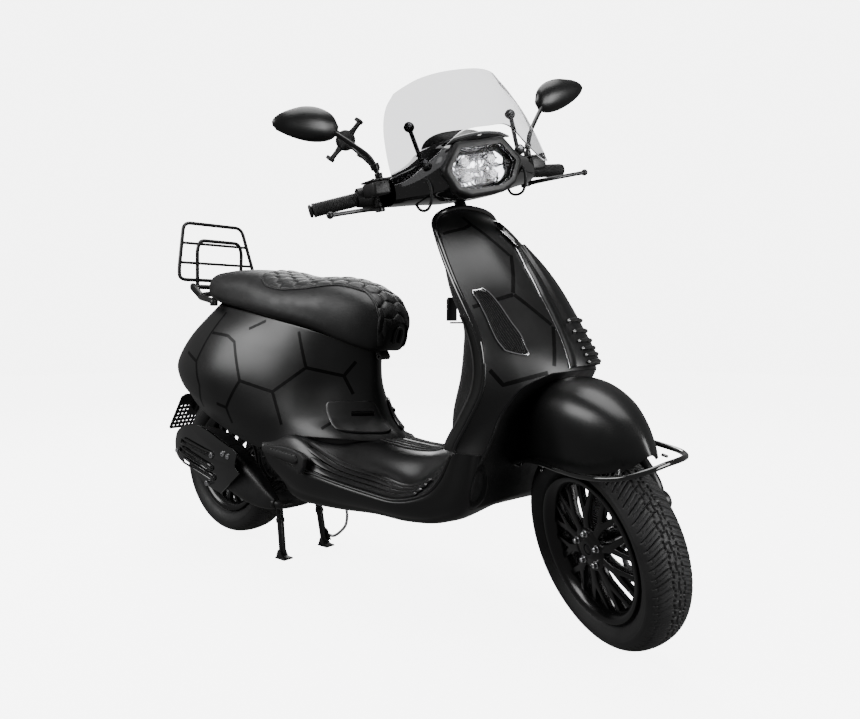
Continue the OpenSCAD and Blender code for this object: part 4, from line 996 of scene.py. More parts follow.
def make_tyre(name, centre, radius, width, body, node):
    """Carcass with a sculpted winter tread: zigzag centre grooves and swept cross grooves."""
    profile = tyre_profile(radius, width)
    seg, pitches = 1152, 72
    h = width / 2
    theta = np.arange(seg) * 2 * math.pi / seg
    r = profile[:, 0][None, :]
    y = profile[:, 1][None, :]
    t = theta[:, None]
    s = np.abs(y)
    phase = t * pitches / (2 * math.pi) + np.where(y > 0, 0.5, 0)
    sweep = 1.6 * (s / h) ** 1.4
    cross = np.abs(np.mod(phase + sweep, 1) - 0.5)
    blind = np.abs(np.mod(phase + sweep + 0.5, 1) - 0.5)
    pitch = 2 * math.pi * radius / pitches

    def groove(distance, half_width, depth):
        return depth * np.clip(1.4 - distance / half_width, 0, 1)

    in_tread = np.clip((r - (radius - 21)) / 5, 0, 1)
    lateral = groove((0.5 - cross) * pitch, 1.7, 4.2) * (s > 4)
    sipe = groove((0.5 - blind) * pitch, 1.0, 2.4) * (s > 16) * (s < h - 10)
    zig = 10 + 5 * np.abs(np.mod(phase + sweep, 2) - 1)
    ring = groove(np.abs(s - zig), 1.5, 3.8)
    middle = groove(np.abs(y - 1.5 * np.sign(np.sin(t * pitches / 2))), 1.2, 3.0)
    shoulder = groove(np.abs(s - (h - 13)), 1.0, 1.6) * (np.mod(phase, 1) > 0.4)
    depth = np.maximum.reduce(np.broadcast_arrays(lateral, sipe, ring, middle + 0 * t, shoulder)) * in_tread
    side_ring = 0.7 * np.exp(-((r - 172) / 1.6) ** 2) + 0.6 * np.exp(-((r - 196) / 1.2) ** 2)
    rr = r - depth
    x = centre[0] + rr * np.cos(t)
    z = centre[2] + rr * np.sin(t)
    yy = centre[1] + y + np.sign(y) * side_ring * (s > h * 0.5) + 0 * x
    verts = np.stack([x, yy, z], axis=-1).reshape(-1, 3)
    obj = mesh_object(name, verts, turned_faces(seg, len(profile)), sharp=0)
    obj.data.set_sharp_from_angle(angle=math.radians(32))
    add(obj, body, TYRE, node)


SPOKES = 10
SPOKE_HALF = [(38, -11), (58, -9), (78, -10), (104, -19), (122, -24), (142, -31), (142, -17), (124, -12),
              (108, -6)]
SPOKE = SPOKE_HALF + [(94, 0)] + [(p, -q) for p, q in SPOKE_HALF[::-1]]


def make_rim(prefix, centre, face, hub_end, body, node):
    """Cast rim: barrel with lips, hub and ten forked spokes."""
    barrel = [(140, -34), (146, -40), (150, -45), (157, -47.5), (162, -47), (163.5, -44.5), (163, -41),
              (157, -38), (152, -33), (147, -24), (140, -6), (140, 10), (146, 26), (152, 34), (157, 38),
              (163, 41), (163.5, 44.5), (162, 47), (157, 47), (150, 43), (143, 34), (136, 12), (135, -8),
              (140, -34)]
    pieces = [revolve("barrel", barrel, centre, (0, 1, 0), 160, 25)]
    hub = [(12, face - 6), (20, face - 7), (24, face - 5), (29, face - 4), (46, face - 2), (50, face + 1),
           (50, face + 12), (44, face + 16), (27, face + 20), (26, hub_end), (12, hub_end)]
    pieces.append(revolve("hub", hub, centre, (0, 1, 0), 96, 25))
    for k in range(SPOKES):
        a = 2 * math.pi * (k + 0.5) / SPOKES

        def place(p, q, depth, a=a):
            dish = face - 1 + 9 * ((p - 40) / 100) ** 2
            x = p * math.cos(a) - q * math.sin(a)
            z = p * math.sin(a) + q * math.cos(a)
            return (centre[0] + x, centre[1] + dish + depth, centre[2] + z)

        pieces.append(slab("spoke", SPOKE, place, 0, 15, 2.0, 3))
    add(join(f"{prefix}_rim_casting", pieces), body, WHEEL, node)


def hexagon_bolt(centre, radius):
    socket = [(0, 2.5), (3.6, 2.5), (3.9, 0), (radius - 1, 0), (radius, 1), (radius, 8), (radius + 2.2, 8.6),
              (radius + 2.2, 10), (0, 10)]
    return revolve("bolt", socket, centre, (0, 1, 0), 36, 30)


def make_bolts():
    bolts = []
    for k in range(5):
        a = 2 * math.pi * k / 5 + 0.35
        bolts.append(hexagon_bolt((FRONT_AXLE[0] + 36 * math.cos(a), -52, FRONT_AXLE[2] + 36 * math.sin(a)),
                     6))
    add(join("front_wheel_bolts", bolts), "front_wheel", STEEL, "front_rim")


def make_brake():
    """Ventilated front disc, caliper with pistons and pad carrier."""
    c = FRONT_AXLE
    rim = [(100, 36.4), (100, 40.4), (66, 40.4), (66, 36.4), (100, 36.4)]
    disc = revolve("disc", rim, c, (0, 1, 0), 160)
    arms = []
    for k in range(5):
        a = 2 * math.pi * k / 5

        def place(p, q, y, a=a):
            return (c[0] + p * math.cos(a) - q * math.sin(a), y, c[2] + p * math.sin(a) + q * math.cos(a))

        arms.append(slab("arm", [(24, -8), (70, -13), (70, 13), (24, 8)], place, 36.6, 40.2, 0.6))
    carrier = revolve("carrier", [(30, 36.6), (30, 41), (20, 41), (20, 36.6), (30, 36.6)], c, (0, 1, 0), 64)
    add(join("disc_rotor", [disc, carrier] + arms), "front_wheel", STEEL, "brake_disc")
    body = side_slab("caliper_body", [(716, 250), (778, 262), (786, 300), (772, 334), (728, 326),
                     (718, 300)], 46, 64, 4)
    bridge = side_slab("caliper_bridge", [(762, 268), (786, 276), (786, 308), (766, 324)], 24, 60, 3)
    pistons = [rod("piston", (744, 62, z), (744, 70, z), 13, 2) for z in (278, 308)]
    add(join("caliper_casting", [body, bridge] + pistons), "front_arm", DARK_ALLOY, "front_caliper")


# ---- front suspension ----

def make_fork():
    leg = fillet([(506, 0, 556), (520, 20, 536), (600, 66, 520), (740, 74, 430), (790, 75, 376),
                 (790, 79, 340)], 40)
    parts = [tube("leg", leg, 12), rod("steerer", (505, 0, 542), (269, 0, 1015), 13.9, 1),
             rod("boss", (790, 76.6, 330), (790, 94, 330), 20, 2),
             rod("shock_eye", (590, 62, 440), (590, 86, 440), 9),
             rod("stay", (590, 72, 440), (620, 66, 508), 8)]
    add(join("fork_tube", parts), "steering", TUBE, "fork_leg")
    link = [(772, 318), (790, 312), (806, 320), (806, 340), (788, 346), (730, 290), (700, 256), (668, 262),
            (642, 256), (636, 244), (648, 233), (668, 214), (690, 204), (708, 214), (716, 240)]
    arm = [side_slab("link", link, 62, 76, 3), rod("axle", (685, -44, 229), (685, 82, 229), 9.9, 1),
           rod("nut", (685, 76, 229), (685, 90, 229), 15, 2), rod("pivot", (790, 60, 330), (790, 96, 330),
           7.9, 1)]
    add(join("link_casting", arm), "front_arm", DARK_ALLOY, "link_arm")
    a, b = np.array((648, 84, 246.0)), np.array((592, 78, 440.0))
    coil = spring("front_spring", a, b, 16, 44, 0.15, 0.85, 3.2, 280, 4)
    add(coil, "front_arm", STEEL, "front_shock")
    axis = b - a
    add(rod("front_damper", a + axis * 0.06, b - axis * 0.1, 9), "front_arm", TUBE, "front_shock",
        slot="bright_steel")


def make_fender_bumper():
    path = np.concatenate([smooth(BUMPER, 60), flip(smooth(BUMPER, 60)[::-1][1:])])
    add(tube("fender_guard_rod", path, 5.6), "steering", GLOSS, "fender_bumper")
    pads = []
    for x, y, z in ((560, 103, 410), (650, 106, 418), (850, 62, 446)):
        for s in (-1, 1):
            pads.append(rod("stay", (x, s * y, z), (x - 3, s * (y - 11), z + 7), 3.2))
    add(join("fender_guard_stays", pads), "steering", GLOSS)


# ---- headset, lamp and screen ----

def ring_at(x0, x1, z0, z1, y):
    """Rounded box section of the headset cover at one distance from the centre."""
    t = -np.arange(96) * 2 * math.pi / 96
    return np.stack([(x0 + x1) / 2 + (x0 - x1) / 2 * squared(np.cos(t), 0.75), np.full(96, y),
                     (z0 + z1) / 2 + (z0 - z1) / 2 * squared(np.sin(t), 0.75)], axis=-1)


def lamp_outline(grow):
    """Six-sided lamp outline as (across, up) about the lamp centre, grown by a margin."""
    base = [(50, 43), (-50, 43), (-80, 4), (-64, -28), (-38, -40), (38, -40), (64, -28), (80, 4)]
    out = []
    for a, b, c in zip(base[-1:] + base[:-1], base, base[1:] + base[:1]):
        d0, d1 = (math.atan2(q[1] - p[1], q[0] - p[0]) for p, q in ((a, b), (b, c)))
        turn = (d1 - d0) % (2 * math.pi)
        for k in range(8):
            t = d0 - math.pi / 2 + turn * k / 7
            out.append((b[0] + (grow + 8) * math.cos(t), b[1] + (grow + 8) * math.sin(t)))
    return out


def lamp_slab(name, grow, x0, x1, edge=1.5):
    return slab(name, lamp_outline(grow), lambda y, z, x: (x, y, LAMP_Z + z), x0, x1, edge, 3)


def domed(name, outline, x, bulge):
    """Outline on the lamp plane filled with a slightly domed sheet."""
    verts = []
    for s in np.linspace(0.02, 1, 15):
        verts += [(x + bulge * (1 - s * s), y * s, LAMP_Z + z * s) for y, z in outline]
    verts.append((x + bulge, 0, LAMP_Z))
    n = len(outline)
    faces = grid_faces(15, n, True) + [(len(verts) - 1, j, (j + 1) % n) for j in range(n)]
    return mesh_object(name, verts, faces, sharp=0)


def make_headset():
    rows = [(-s[0], *s[1:]) for s in HEADSET[:0:-1]] + list(HEADSET)
    net = np.array([[x0, x1, z0, z1, y] for y, x0, x1, z0, z1 in rows], float)
    net[:, 2] += np.interp(abs(net[:, 4]), [0, 55, 85, 104, 135], [15, 16, 14, 6, 0])
    rings = [ring_at(*row) for row in smooth(net, 120)]
    shell = bake(thicken(weld(grid_mesh("headset_shell", rings, 0, True)), 2.5, 0))
    add(cut(shell, lamp_slab("cutter", 5.5, 330, 480, 0)), "steering", GLOSS, "headset")
    bezel = bake(lamp_slab("bezel", 14, 352, 428, 9))
    add(cut(bezel, lamp_slab("cutter", -3, 362, 480, 0)), "steering", PLASTIC, "headlight_bezel",
        slot="gloss_black")
    brow = [(424 - abs(y) * 0.2, y, 1138 - 0.0013 * y * y) for y in np.linspace(-88, 88, 40)]
    add(tube("lamp_brow", brow, taper(40, 28 / 176, 2, 8), sides=5), "steering", GLOSS)
    lens = weld(domed("lens", lamp_outline(-3.4), 417, 7))
    add(thicken(lens, 2, 0.4), "steering", CLEAR, "headlight_lens")
    make_reflector()
    make_dash()


def make_reflector():
    """Faceted reflector in two chambers with bulbs, and the gloss black divider between them."""
    rows = [(y, z) for z in np.linspace(-34, 34, 11) for y in np.linspace(-66, 66, 23)]
    verts = []
    for y, z in rows:
        bowl = min(1, (abs(y) / 70) ** 2 + (z / 40) ** 2)
        step = 1.6 * ((int(round(y / 6)) + int(round(z / 6.8))) % 2) + 1.6 * math.sin(1.7 * y + 2.9 * z)
        wide = 1 - max(0, abs(z) - 18) / 60
        verts.append((374 + 24 * bowl + step, y * wide, LAMP_Z + z))
    bowl = mesh_object("lamp_reflector", verts, grid_faces(11, 23), sharp=1)
    bowl.data.shade_flat()
    add(join("lamp_bowl", [thicken(bowl, 1.5, 0)]), "steering", CHROME)
    bars = [rod("bar", (398, -70, 1068), (398, 70, 1068), 2.5),
            rod("post", (398, 0, 1032), (398, 0, 1102), 2.2)]
    bars += [revolve("shroud", [(0, 0), (9, 0), (12, 4), (12, 14), (10, 18), (0, 18)], (386, y, LAMP_Z + z),
             (1, 0, 0), 40) for y, z in ((-34, 18), (34, 18), (-34, -16), (34, -16))]
    add(join("lamp_shrouds", bars), "steering", GLOSS)


def make_dash():
    """Instrument pod on top of the headset, facing the rider."""
    rows = []
    for half, x, z, r in ((40, 222, 1100, 6), (62, 234, 1118, 24), (70, 262, 1132, 32), (68, 310, 1134, 34),
                          (58, 360, 1128, 24), (40, 392, 1116, 8)):
        a = np.linspace(0, 2 * math.pi, 48, endpoint=False)
        rows.append(np.stack([x + 0 * a, half * squared(np.cos(a), 0.6), z + r * squared(np.sin(a), 0.7)],
                    axis=-1))
    add(loft("dash_hood", smooth(rows, 40)), "steering", PLASTIC)
    dial = revolve("dial", [(0, 0), (30, 0), (33, 1.5), (33, 5), (0, 5)], (232, 0, 1122), (-0.8, 0, 0.6), 64)
    add(dial, "steering", GLOSS)


def make_screen():
    pane = panel("windscreen_pane", screen_skin, 60, 90, 3.0, out=1.5, rim=1.2)
    add(pane, "steering", SMOKED, "windscreen")
    parts, caps = [], []
    for s in (-1, 1):
        parts.append(rod("strut", (374, s * 127, 1096), (352, s * 134, 1180), 5))
        for x, y, z, r in ((346, 134, 1180, 12), (378, 127, 1094, 12)):
            d = Vector((math.sin(math.radians(62)), 0, math.cos(math.radians(62))))
            knob = [(0, 0), (r - 2, 0), (r, 2), (r, 9), (r - 1.5, 12), (r * 0.62, 13), (r * 0.58, 11.5),
                    (0, 11.5)]
            parts.append(revolve("knob", knob, (x, s * y, z), d, 48))
            caps.append(revolve("cap", [(0, 11.6), (5.5, 11.6), (6.2, 12.4), (5, 14.5), (0, 15.4)],
                        (x, s * y, z), d, 32))
    add(join("screen_mounts", parts), "steering", PLASTIC, "screen_brackets")
    add(join("screen_mount_caps", caps), "steering", STEEL)


# ---- bars and controls ----

GRIP_PITCH = 4.2

def lerp(a, b, t):
    return tuple(p + (q - p) * t for p, q in zip(a, b))


def make_bars():
    left = fillet([BAR_INNER, BAR_BEND, BAR_END], 26, 10)
    right = mirrored(left)[::-1]
    bar = tube("handlebar_tube", list(map(Vector, right)) + list(left)[1:], 10.9)
    crown = rod("crown", (266, 0, 1019), (247, 0, 1058), 20, 3)
    weights = []
    for s in (-1, 1):
        a, b = [(p[0], s * p[1], p[2]) for p in (lerp(BAR_BEND, BAR_END, 0.945),
                lerp(BAR_BEND, BAR_END, 1.0))]
        weights.append(revolve("weight", [(0, 0), (13, 0), (16, 1.5), (16, 5), (13, 7.5), (0, 7.5)], a,
                               Vector(b) - Vector(a), 48))
    add(join("handlebar_assembly", [bar, crown] + weights), "steering", TUBE, "handlebar")
    for name, s, body, node in (("right", -1, "throttle", "throttle_grip"),
            ("left", 1, "steering", "left_grip")):
        a, b = [Vector((p[0], s * p[1], p[2])) for p in (BAR_BEND, BAR_END)]
        start, end = a + (b - a) * 0.06, a + (b - a) * 0.93
        length = (end - start).length
        d = np.linspace(0, length, 260)
        ribs = 16.4 + 0.55 * np.clip(3 * np.sin(d * 2 * math.pi / GRIP_PITCH), -1, 1)
        ribs = np.where(d < 10, 20.5 - 0.02 * (d - 5) ** 2, np.where(d > length - 6, 17, ribs))
        profile = [(11.06, 0)] + [(float(r), float(x)) for r, x in zip(ribs, d)] + [(11.06, length)]
        grip = revolve(f"grip_{name}", profile, start, b - a, 72, 30)
        add(grip, body, RUBBER, node)


def side_block(name, low, high, s, edge):
    y0, y1 = sorted((s * low[1], s * high[1]))
    return block(name, (low[0], y0, low[2]), (high[0], y1, high[2]), edge)


def make_pods():
    parts = []
    for s in (-1, 1):
        parts.append(side_block("reservoir", (248, 192, 1046), (326, 236, 1079), s, 7))
        parts.append(side_block("lid", (250, 191, 1079), (324, 237, 1084), s, 2))
        parts.append(side_block("neck", (246, 196, 1030), (270, 216, 1060), s, 5))
        parts.append(rod("hinge", (262, s * 205, 1022), (262, s * 205, 1038), 10, 2))
        a, b = Vector((235, s * 204, 1048.5)), Vector((233.6, s * 222, 1050))
        parts.append(rod("clamp", a, b, 22, 3))
        cone = [(23.5, 0), (27, 2), (28, 8), (26.5, 24), (23.4, 44), (22.4, 52), (21.6, 52), (21.4, 44),
                (21.6, 20), (23, 0)]
        parts.append(revolve("cone", cone, a - (b - a) * 0.5, b - a, 64))
        parts.append(side_block("switch", (197, 200, 1026), (214, 226, 1068), s, 4))
        for x, y in ((258, 198), (316, 230)):
            parts.append(revolve("screw", [(0, 0), (3, 0), (3.4, 0.5), (3.4, 1.5), (1.6, 1.6), (0, 0.6)],
                                 (x, s * y, 1084), (0, 0, 1), 24))
    add(join("control_housings", parts), "steering", PLASTIC, "control_pods")


def make_lever(s, name, body, node):
    route = [(262, s * 205, 1018), (272, s * 214, 1018), (304, s * 246, 1019), (318, s * 290, 1019.5),
             (322, s * 349, 1020)]
    path = smooth(route, 60)
    t = np.linspace(0, 1, 60)
    blade = tube("blade", path, np.interp(t, [0, 0.1, 0.35, 0.9, 1], [8, 7, 5.6, 5.0, 5.4]), sides=5)
    ball = revolve("ball", [(8.4 * math.sin(a), -8.4 * math.cos(a)) for a in np.linspace(0.0, math.pi, 24)],
                   (322, s * 349, 1020), (0, 1, 0), 40)
    hub = rod("hub", (262, s * 205, 1010), (262, s * 205, 1023), 12, 2)
    add(join(name, [blade, ball, hub]), body, DARK_ALLOY, node, slot="dark_alloy")


MIRROR_RINGS = [(270, 4, 4, 0, 1216), (278, 22, 14, 0, 1219), (293, 33, 21, -2, 1222),
                (315, 39, 26, -3, 1226), (343, 39, 27, -3, 1230), (370, 33, 24, -2, 1233),
                (395, 24, 18, 0, 1236), (412, 14, 11, 0, 1238), (420, 5, 5, 0, 1239)]


def make_mirror(s, name, body, node):
    values = smooth(MIRROR_RINGS, 60)
    a = np.linspace(0, 2 * math.pi, 72, endpoint=False)
    rings = []
    for y, half_z, depth, dx, z in values:
        front = np.where(np.cos(a) > 0, depth * np.cos(a), 0.3 * depth * np.cos(a))
        rings.append(np.stack([262 + dx + front, s * (y + 0 * a), z - half_z * np.sin(a)], axis=-1))
    shell = loft("shell", rings)
    stem = fillet([(292, s * 205, 1086), (294, s * 214, 1132), (284, s * 242, 1162), (264, s * 298, 1216)],
                  26, 8)
    parts = [shell, tube("stem", stem, 5.6), rod("base", (292, s * 205, 1084.4), (292, s * 205, 1098), 9.4,
             1.5), rod("nut", (292.5, s * 207, 1102), (293, s * 210, 1114), 8, 1),
             rod("neck", (268, s * 286, 1205), (262, s * 304, 1220), 8, 2)]
    if s < 0:
        parts.append(rod("arm", (293, -211, 1112), (243, -237, 1170), 6, 1))
        parts.append(rod("arm_clamp", (293, -209, 1106), (294, -212, 1120), 11, 2))
    add(join(name, parts), body, SATIN, node, slot="gloss_black")
    outline = [(y, z, h * 0.88) for y, h, _, _, z in values[8:-7]]
    verts, m = [], 15
    for y, z, h in outline:
        for k in range(m):
            q = -1 + 2 * k / (m - 1)
            verts.append((262 - 0.3 * 27 * math.sqrt(max(0, 1 - q * q * 0.8)) - 1.2, s * y, z + h * q))
    glass = grid_mesh(f"{name}_glass", verts, m)
    add(thicken(glass, 1, 0), body, MIRROR)


def make_phone_holder():
    base = Vector((228, -244, 1186))
    turn = Matrix.Rotation(math.radians(-70), 3, "Y")
    parts = []

    def local(a, b, h):
        return tuple(base + turn @ Vector((a, b, h)))

    parts.append(revolve("disc", [(0, 0), (20, 0), (24, 3), (24, 9), (20, 12), (0, 12)], base,
                 turn @ Vector((0, 0, 1)), 64))
    for k in range(4):
        a = math.radians(45 + 90 * k)

        def arm(p, q, h, a=a):
            return local(p * math.cos(a) - q * math.sin(a), p * math.sin(a) + q * math.cos(a), h)

        parts.append(slab("arm", [(14, -9), (34, -5.5), (54, -5.5), (58, -7), (58, 7), (54, 5.5), (34, 5.5),
                     (14, 9)], arm, 2, 9, 1.5, 2))
        parts.append(slab("claw", [(51, -8), (60, -8), (61, 0), (60, 8), (51, 8)], arm, 2, 24, 2, 2))
    add(join("phone_claw", parts), "phone_holder", PLASTIC, "phone_cradle")


def make_hoses():
    paths = [smooth(HOSE, 90), smooth(flip(HOSE), 90)]
    hoses = [tube("hose", p, 3.4, sides=4) for p in paths]
    add(join("control_hoses", hoses), "steering", RUBBER, "brake_hoses")


# ---- rear end ----

def cover_point(side, s, t, lift):
    """Point on a service cover: s across from the front, t up, both 0 to 1."""
    u = 0.1 + 1.46 * t
    v = 0.4 + 0.2 * t + (2.4 - 0.15 * t) * s
    v = v if side == "left" else 20 - v
    return body_skin.grid([u], [v])[0, 0] + body_skin.normal_grid([u], [v])[0, 0] * lift


def make_access_cover():
    for side in ("left", "right"):
        n, verts, edge = 30, [], []
        for i in range(n):
            for j in range(n):
                a, b = 2 * i / (n - 1) - 1, 2 * j / (n - 1) - 1
                s, t = 0.5 + b * math.sqrt(1 - 0.18 * a ** 6) / 2, 0.5 + a * math.sqrt(1 - 0.18 * b ** 6) / 2
                verts.append(cover_point(side, s, t, 3.8))
                if i in (0, n - 1) or j in (0, n - 1):
                    edge.append((math.atan2(t - 0.5, s - 0.5), cover_point(side, s, t, 3.2)))
        cover = weld(grid_mesh(f"service_cover_{side}", verts, n, False, side == "left"), False)
        add(thicken(cover, 2.4, 0.9), "chassis", SATIN, "access_cover")
        ring = [p for _, p in sorted(edge, key=lambda q: q[0])]
        add(tube(f"service_cover_seam_{side}", ring, 1.5, True, 3), "chassis", GLOSS)
        # The finger hole is filled with a proud near-black bar in low-sheen line paint: painted shade of the
        # recess.
        hole = [cover_point(side, s, 0.70, 3.0) for s in np.linspace(0.14, 0.58, 20)]
        add(tube(f"service_cover_grip_shade_{side}", hole, 8, False, 4), "chassis", LINE)
        top, bottom = np.linspace(0.11, 0.61, 20), np.linspace(0.76, 0.64, 5)
        route = [(s, 0.78) for s in top] + [(0.61, t) for t in bottom]
        route += [(s, 0.62) for s in top[::-1]] + [(0.11, t) for t in bottom[::-1]]
        lip = [cover_point(side, s, t, 4.2) for s, t in route]
        add(tube(f"service_cover_lip_{side}", lip, 1.6, True, 3), "chassis", GLOSS)


def make_rear_light():
    us, vs = np.linspace(2.38, 3.27, 30), np.linspace(9.22, 10.78, 70)
    grid = body_skin.grid(us, vs)
    normals = body_skin.normal_grid(us, vs)
    a = np.minimum(1, 7 * np.minimum(np.linspace(0, 1, 30), np.linspace(1, 0, 30)))[:, None, None]
    b = np.minimum(1, 9 * np.minimum(np.linspace(0, 1, 70), np.linspace(1, 0, 70)))[None, :, None]
    lens = grid + normals * (1.5 + 7.5 * np.sin(a * math.pi / 2) * np.sin(b * math.pi / 2))
    obj = grid_mesh("tail_lamp_lens", lens)
    add(thicken(obj, 2.5, 0.5), "chassis", RED_LENS, "rear_lights")
    edge = [(2.38, 9.22), (2.38, 10.78), (3.27, 10.78), (3.27, 9.22)]
    route = []
    for p, q in zip(edge, edge[1:] + edge[:1]):
        route += [lerp(p, q, t) for t in np.linspace(0, 1, 20, endpoint=False)]
    rim = tube("tail_lamp_rim", body_skin.points(route, 2), 2.2, True, 4)
    add(rim, "chassis", GLOSS)


def make_plate():
    lean = Matrix.Rotation(math.radians(36), 3, "Y")
    origin = Vector((-866, 0, 452))

    def on(a, b, h):
        return tuple(origin + lean @ Vector((-4 + h, a, b)))

    outline = [(-70, -158), (70, -158), (75, -150), (75, -12), (62, 0), (-62, 0), (-75, -12), (-75, -150)]
    plate = bake(slab("plate", outline, on, -2, 2, 0.8))
    holes = []
    for y in np.linspace(-60, 60, 9):
        for z in (-144, -126, -108, -90, -72, -54):
            if abs(y) < 22 and -100 < z < -30:
                continue
            a, b = on(y, z, -6), on(y, z, 6)
            holes.append(rod("hole", a, b, 4.2, 0.01))
    plate = cut(plate, join("holes", holes))
    parts = [plate, tube("stem", fillet([(-800, 0, 500), (-868, 0, 440), (-905, 0, 392)], 20), 11)]
    parts += [rod("rail", on(s * 62, -140, -5), on(s * 62, -20, -5), 3) for s in (-1, 1)]
    add(join("plate_bracket", parts), "chassis", PLASTIC, "plate_holder")
    c = Vector(on(0, -60, -5))
    dish = revolve("reflector", [(0, 3), (22, 3), (25, 2), (27, 0), (27, -3), (0, -3)], c,
                   lean @ Vector((-1, 0, 0)), 56)
    add(dish, "chassis", RED_LENS)


def rack_at(y, z):
    return (-752 - (z - 818) * math.tan(math.radians(8)), y, z)


def hoop_at(y, z):
    return (-752 + 6 * min(1, (z - 818) / 60), y, z)


def make_rack():
    half = [rack_at(0, 840), rack_at(-146, 840), rack_at(-145, 874), rack_at(-112, 1028), rack_at(0, 1028)]
    loop = fillet(half + mirrored(half[-2:0:-1]) + [half[0]], 26, 10)
    legs = [hoop_at(-84, 824), hoop_at(-86, 940), hoop_at(-74, 970), hoop_at(0, 970)]
    hoop = fillet(legs + mirrored(legs[-2::-1]), 16, 8)
    parts = [tube("frame", loop[:-1], 6, True), tube("hoop", hoop, 6)]
    parts += [rod("bar", rack_at(-w, z), rack_at(w, z), 4.6) for w, z in ((140, 896), (123, 961))]
    parts.append(rod("barrel", (-752, -96, 818), (-752, 96, 818), 8, 1))
    add(join("rack_tubes", parts), "rack", TUBE, "rack_flap")
    half = [(-560, 150, 766), (-620, 136, 774), (-690, 112, 782), (-732, 76, 790), (-750, 40, 795),
            (-754, 0, 797)]
    rail = smooth(half + mirrored(half[-2::-1]), 140)
    arms = [tube("rail", rail, 9), rod("pin", (-752, -107, 818), (-752, 107, 818), 3, 0.5)]
    for s in (-1, 1):
        y = sorted((s * 98, s * 106))
        arms.append(side_slab("arm", [(-692, 774), (-698, 797), (-738, 826), (-748, 830), (-758, 828),
                    (-764, 820), (-762, 810), (-712, 776)], y[0], y[1], 2.5))
        arms.append(rod("foot", (-560, s * 150, 752), (-560, s * 150, 770), 12, 3))
    add(join("grab_handle", arms), "chassis", TUBE, "grab_rail")


# ---- engine unit ----

def make_engine():
    c = (-345, 0, 300)
    ring = [(20, -92), (20, -97), (24, -99), (46, -101), (56, -100), (62, -95), (67, -90), (68, -84),
            (68, -66), (0, -66), (0, -92), (20, -92)]
    cover = [revolve("cowl", ring, c, (0, 1, 0), 96, 25)]
    for k in range(12):
        a = 2 * math.pi * k / 12
        p = (c[0] + 36 * math.cos(a), -104, c[2] + 36 * math.sin(a))
        q = (c[0] + 50 * math.cos(a), -104, c[2] + 50 * math.sin(a))
        cover.append(rod("fin", (p[0], -101.5, p[2]), (q[0], -101.0, q[2]), 2.2, 0.5))
    for k in range(3):
        a = 0.6 + 2 * math.pi * k / 3
        x, z = c[0] + 60 * math.cos(a), c[2] + 60 * math.sin(a)
        cover.append(revolve("screw", [(0, 3), (3, 3), (3.4, 0), (7, 0), (7.5, 1), (7.5, 8), (0, 8)],
                     (x, -103, z), (0, 1, 0), 32))
    add(join("fan_cowl", cover), "engine", PLASTIC, "fan_cover")
    barrel = [rod("case", (-345, -62, 290), (-345, 66, 290), 68, 6),
              rod("mount", (-235, -60, 332), (-235, 60, 332), 20),
              rod("arm", (-290, 0, 300), (-235, 0, 332), 24, 4),
              block("carburettor", (-400, -40, 330), (-310, 40, 390), 8)]
    for k in range(9):
        x = -302 + 12 * k
        a, b = Vector((x, 0, 272.5 + 2.8 * k)), Vector((x + 4, 0, 273.5 + 2.8 * k))
        barrel.append(rod("fin", a, b, 50 if k < 7 else 44, 1))
    barrel.append(rod("cylinder", (-310, 0, 272), (-190, 0, 300), 38, 4))
    add(join("engine_casting", barrel), "engine", DARK_ALLOY, "engine_block")
    make_muffler()
    make_shock()


def belt_outline():
    out = []
    for cx, cz, r, a0, a1 in ((-345, 290, 78, 100, -82), (-655, 256, 66, -98, -262)):
        out += [(cx + r * math.cos(math.radians(a)), cz + r * math.sin(math.radians(a))) for a in
                np.linspace(a0, a1, 24)]
    return out


def make_belt_case():
    cover = [(-500 + (x + 500) * 0.92, 272 + (z - 272) * 0.9) for x, z in belt_outline()]
    parts = [side_slab("case", belt_outline(), 70, 116, 6), side_slab("cover", cover, 114, 122, 3),
             rod("output", (-655, -52, 246), (-655, 72, 246), 9.9, 1)]
    for x, z in ((-280, 330), (-285, 245), (-345, 222), (-430, 348), (-430, 218), (-520, 205), (-540, 330),
                 (-620, 205), (-640, 310), (-705, 262)):
        parts.append(revolve("bolt", [(0, -3), (3, -3), (3.5, 0), (6, 0), (6.5, -1), (6.5, -7), (0, -7)],
                             (x, 119, z), (0, 1, 0), 24))
    for k in range(7):
        x = -480 - 18 * k
        parts.append(rod("rib", (x, 122, 250), (x - 26, 122, 296), 2.4, 1))
    add(join("belt_case", parts), "engine", ALLOY, "belt_cover")


def super_ring(x, y0, y1, z, half_z):
    """Rounded box section of the silencer."""
    a = np.arange(64) * 2 * math.pi / 64
    return np.stack([x + 0 * a, (y0 + y1) / 2 + (y1 - y0) / 2 * squared(np.cos(a), 0.55),
                     z + half_z * squared(np.sin(a), 0.55)], axis=-1)


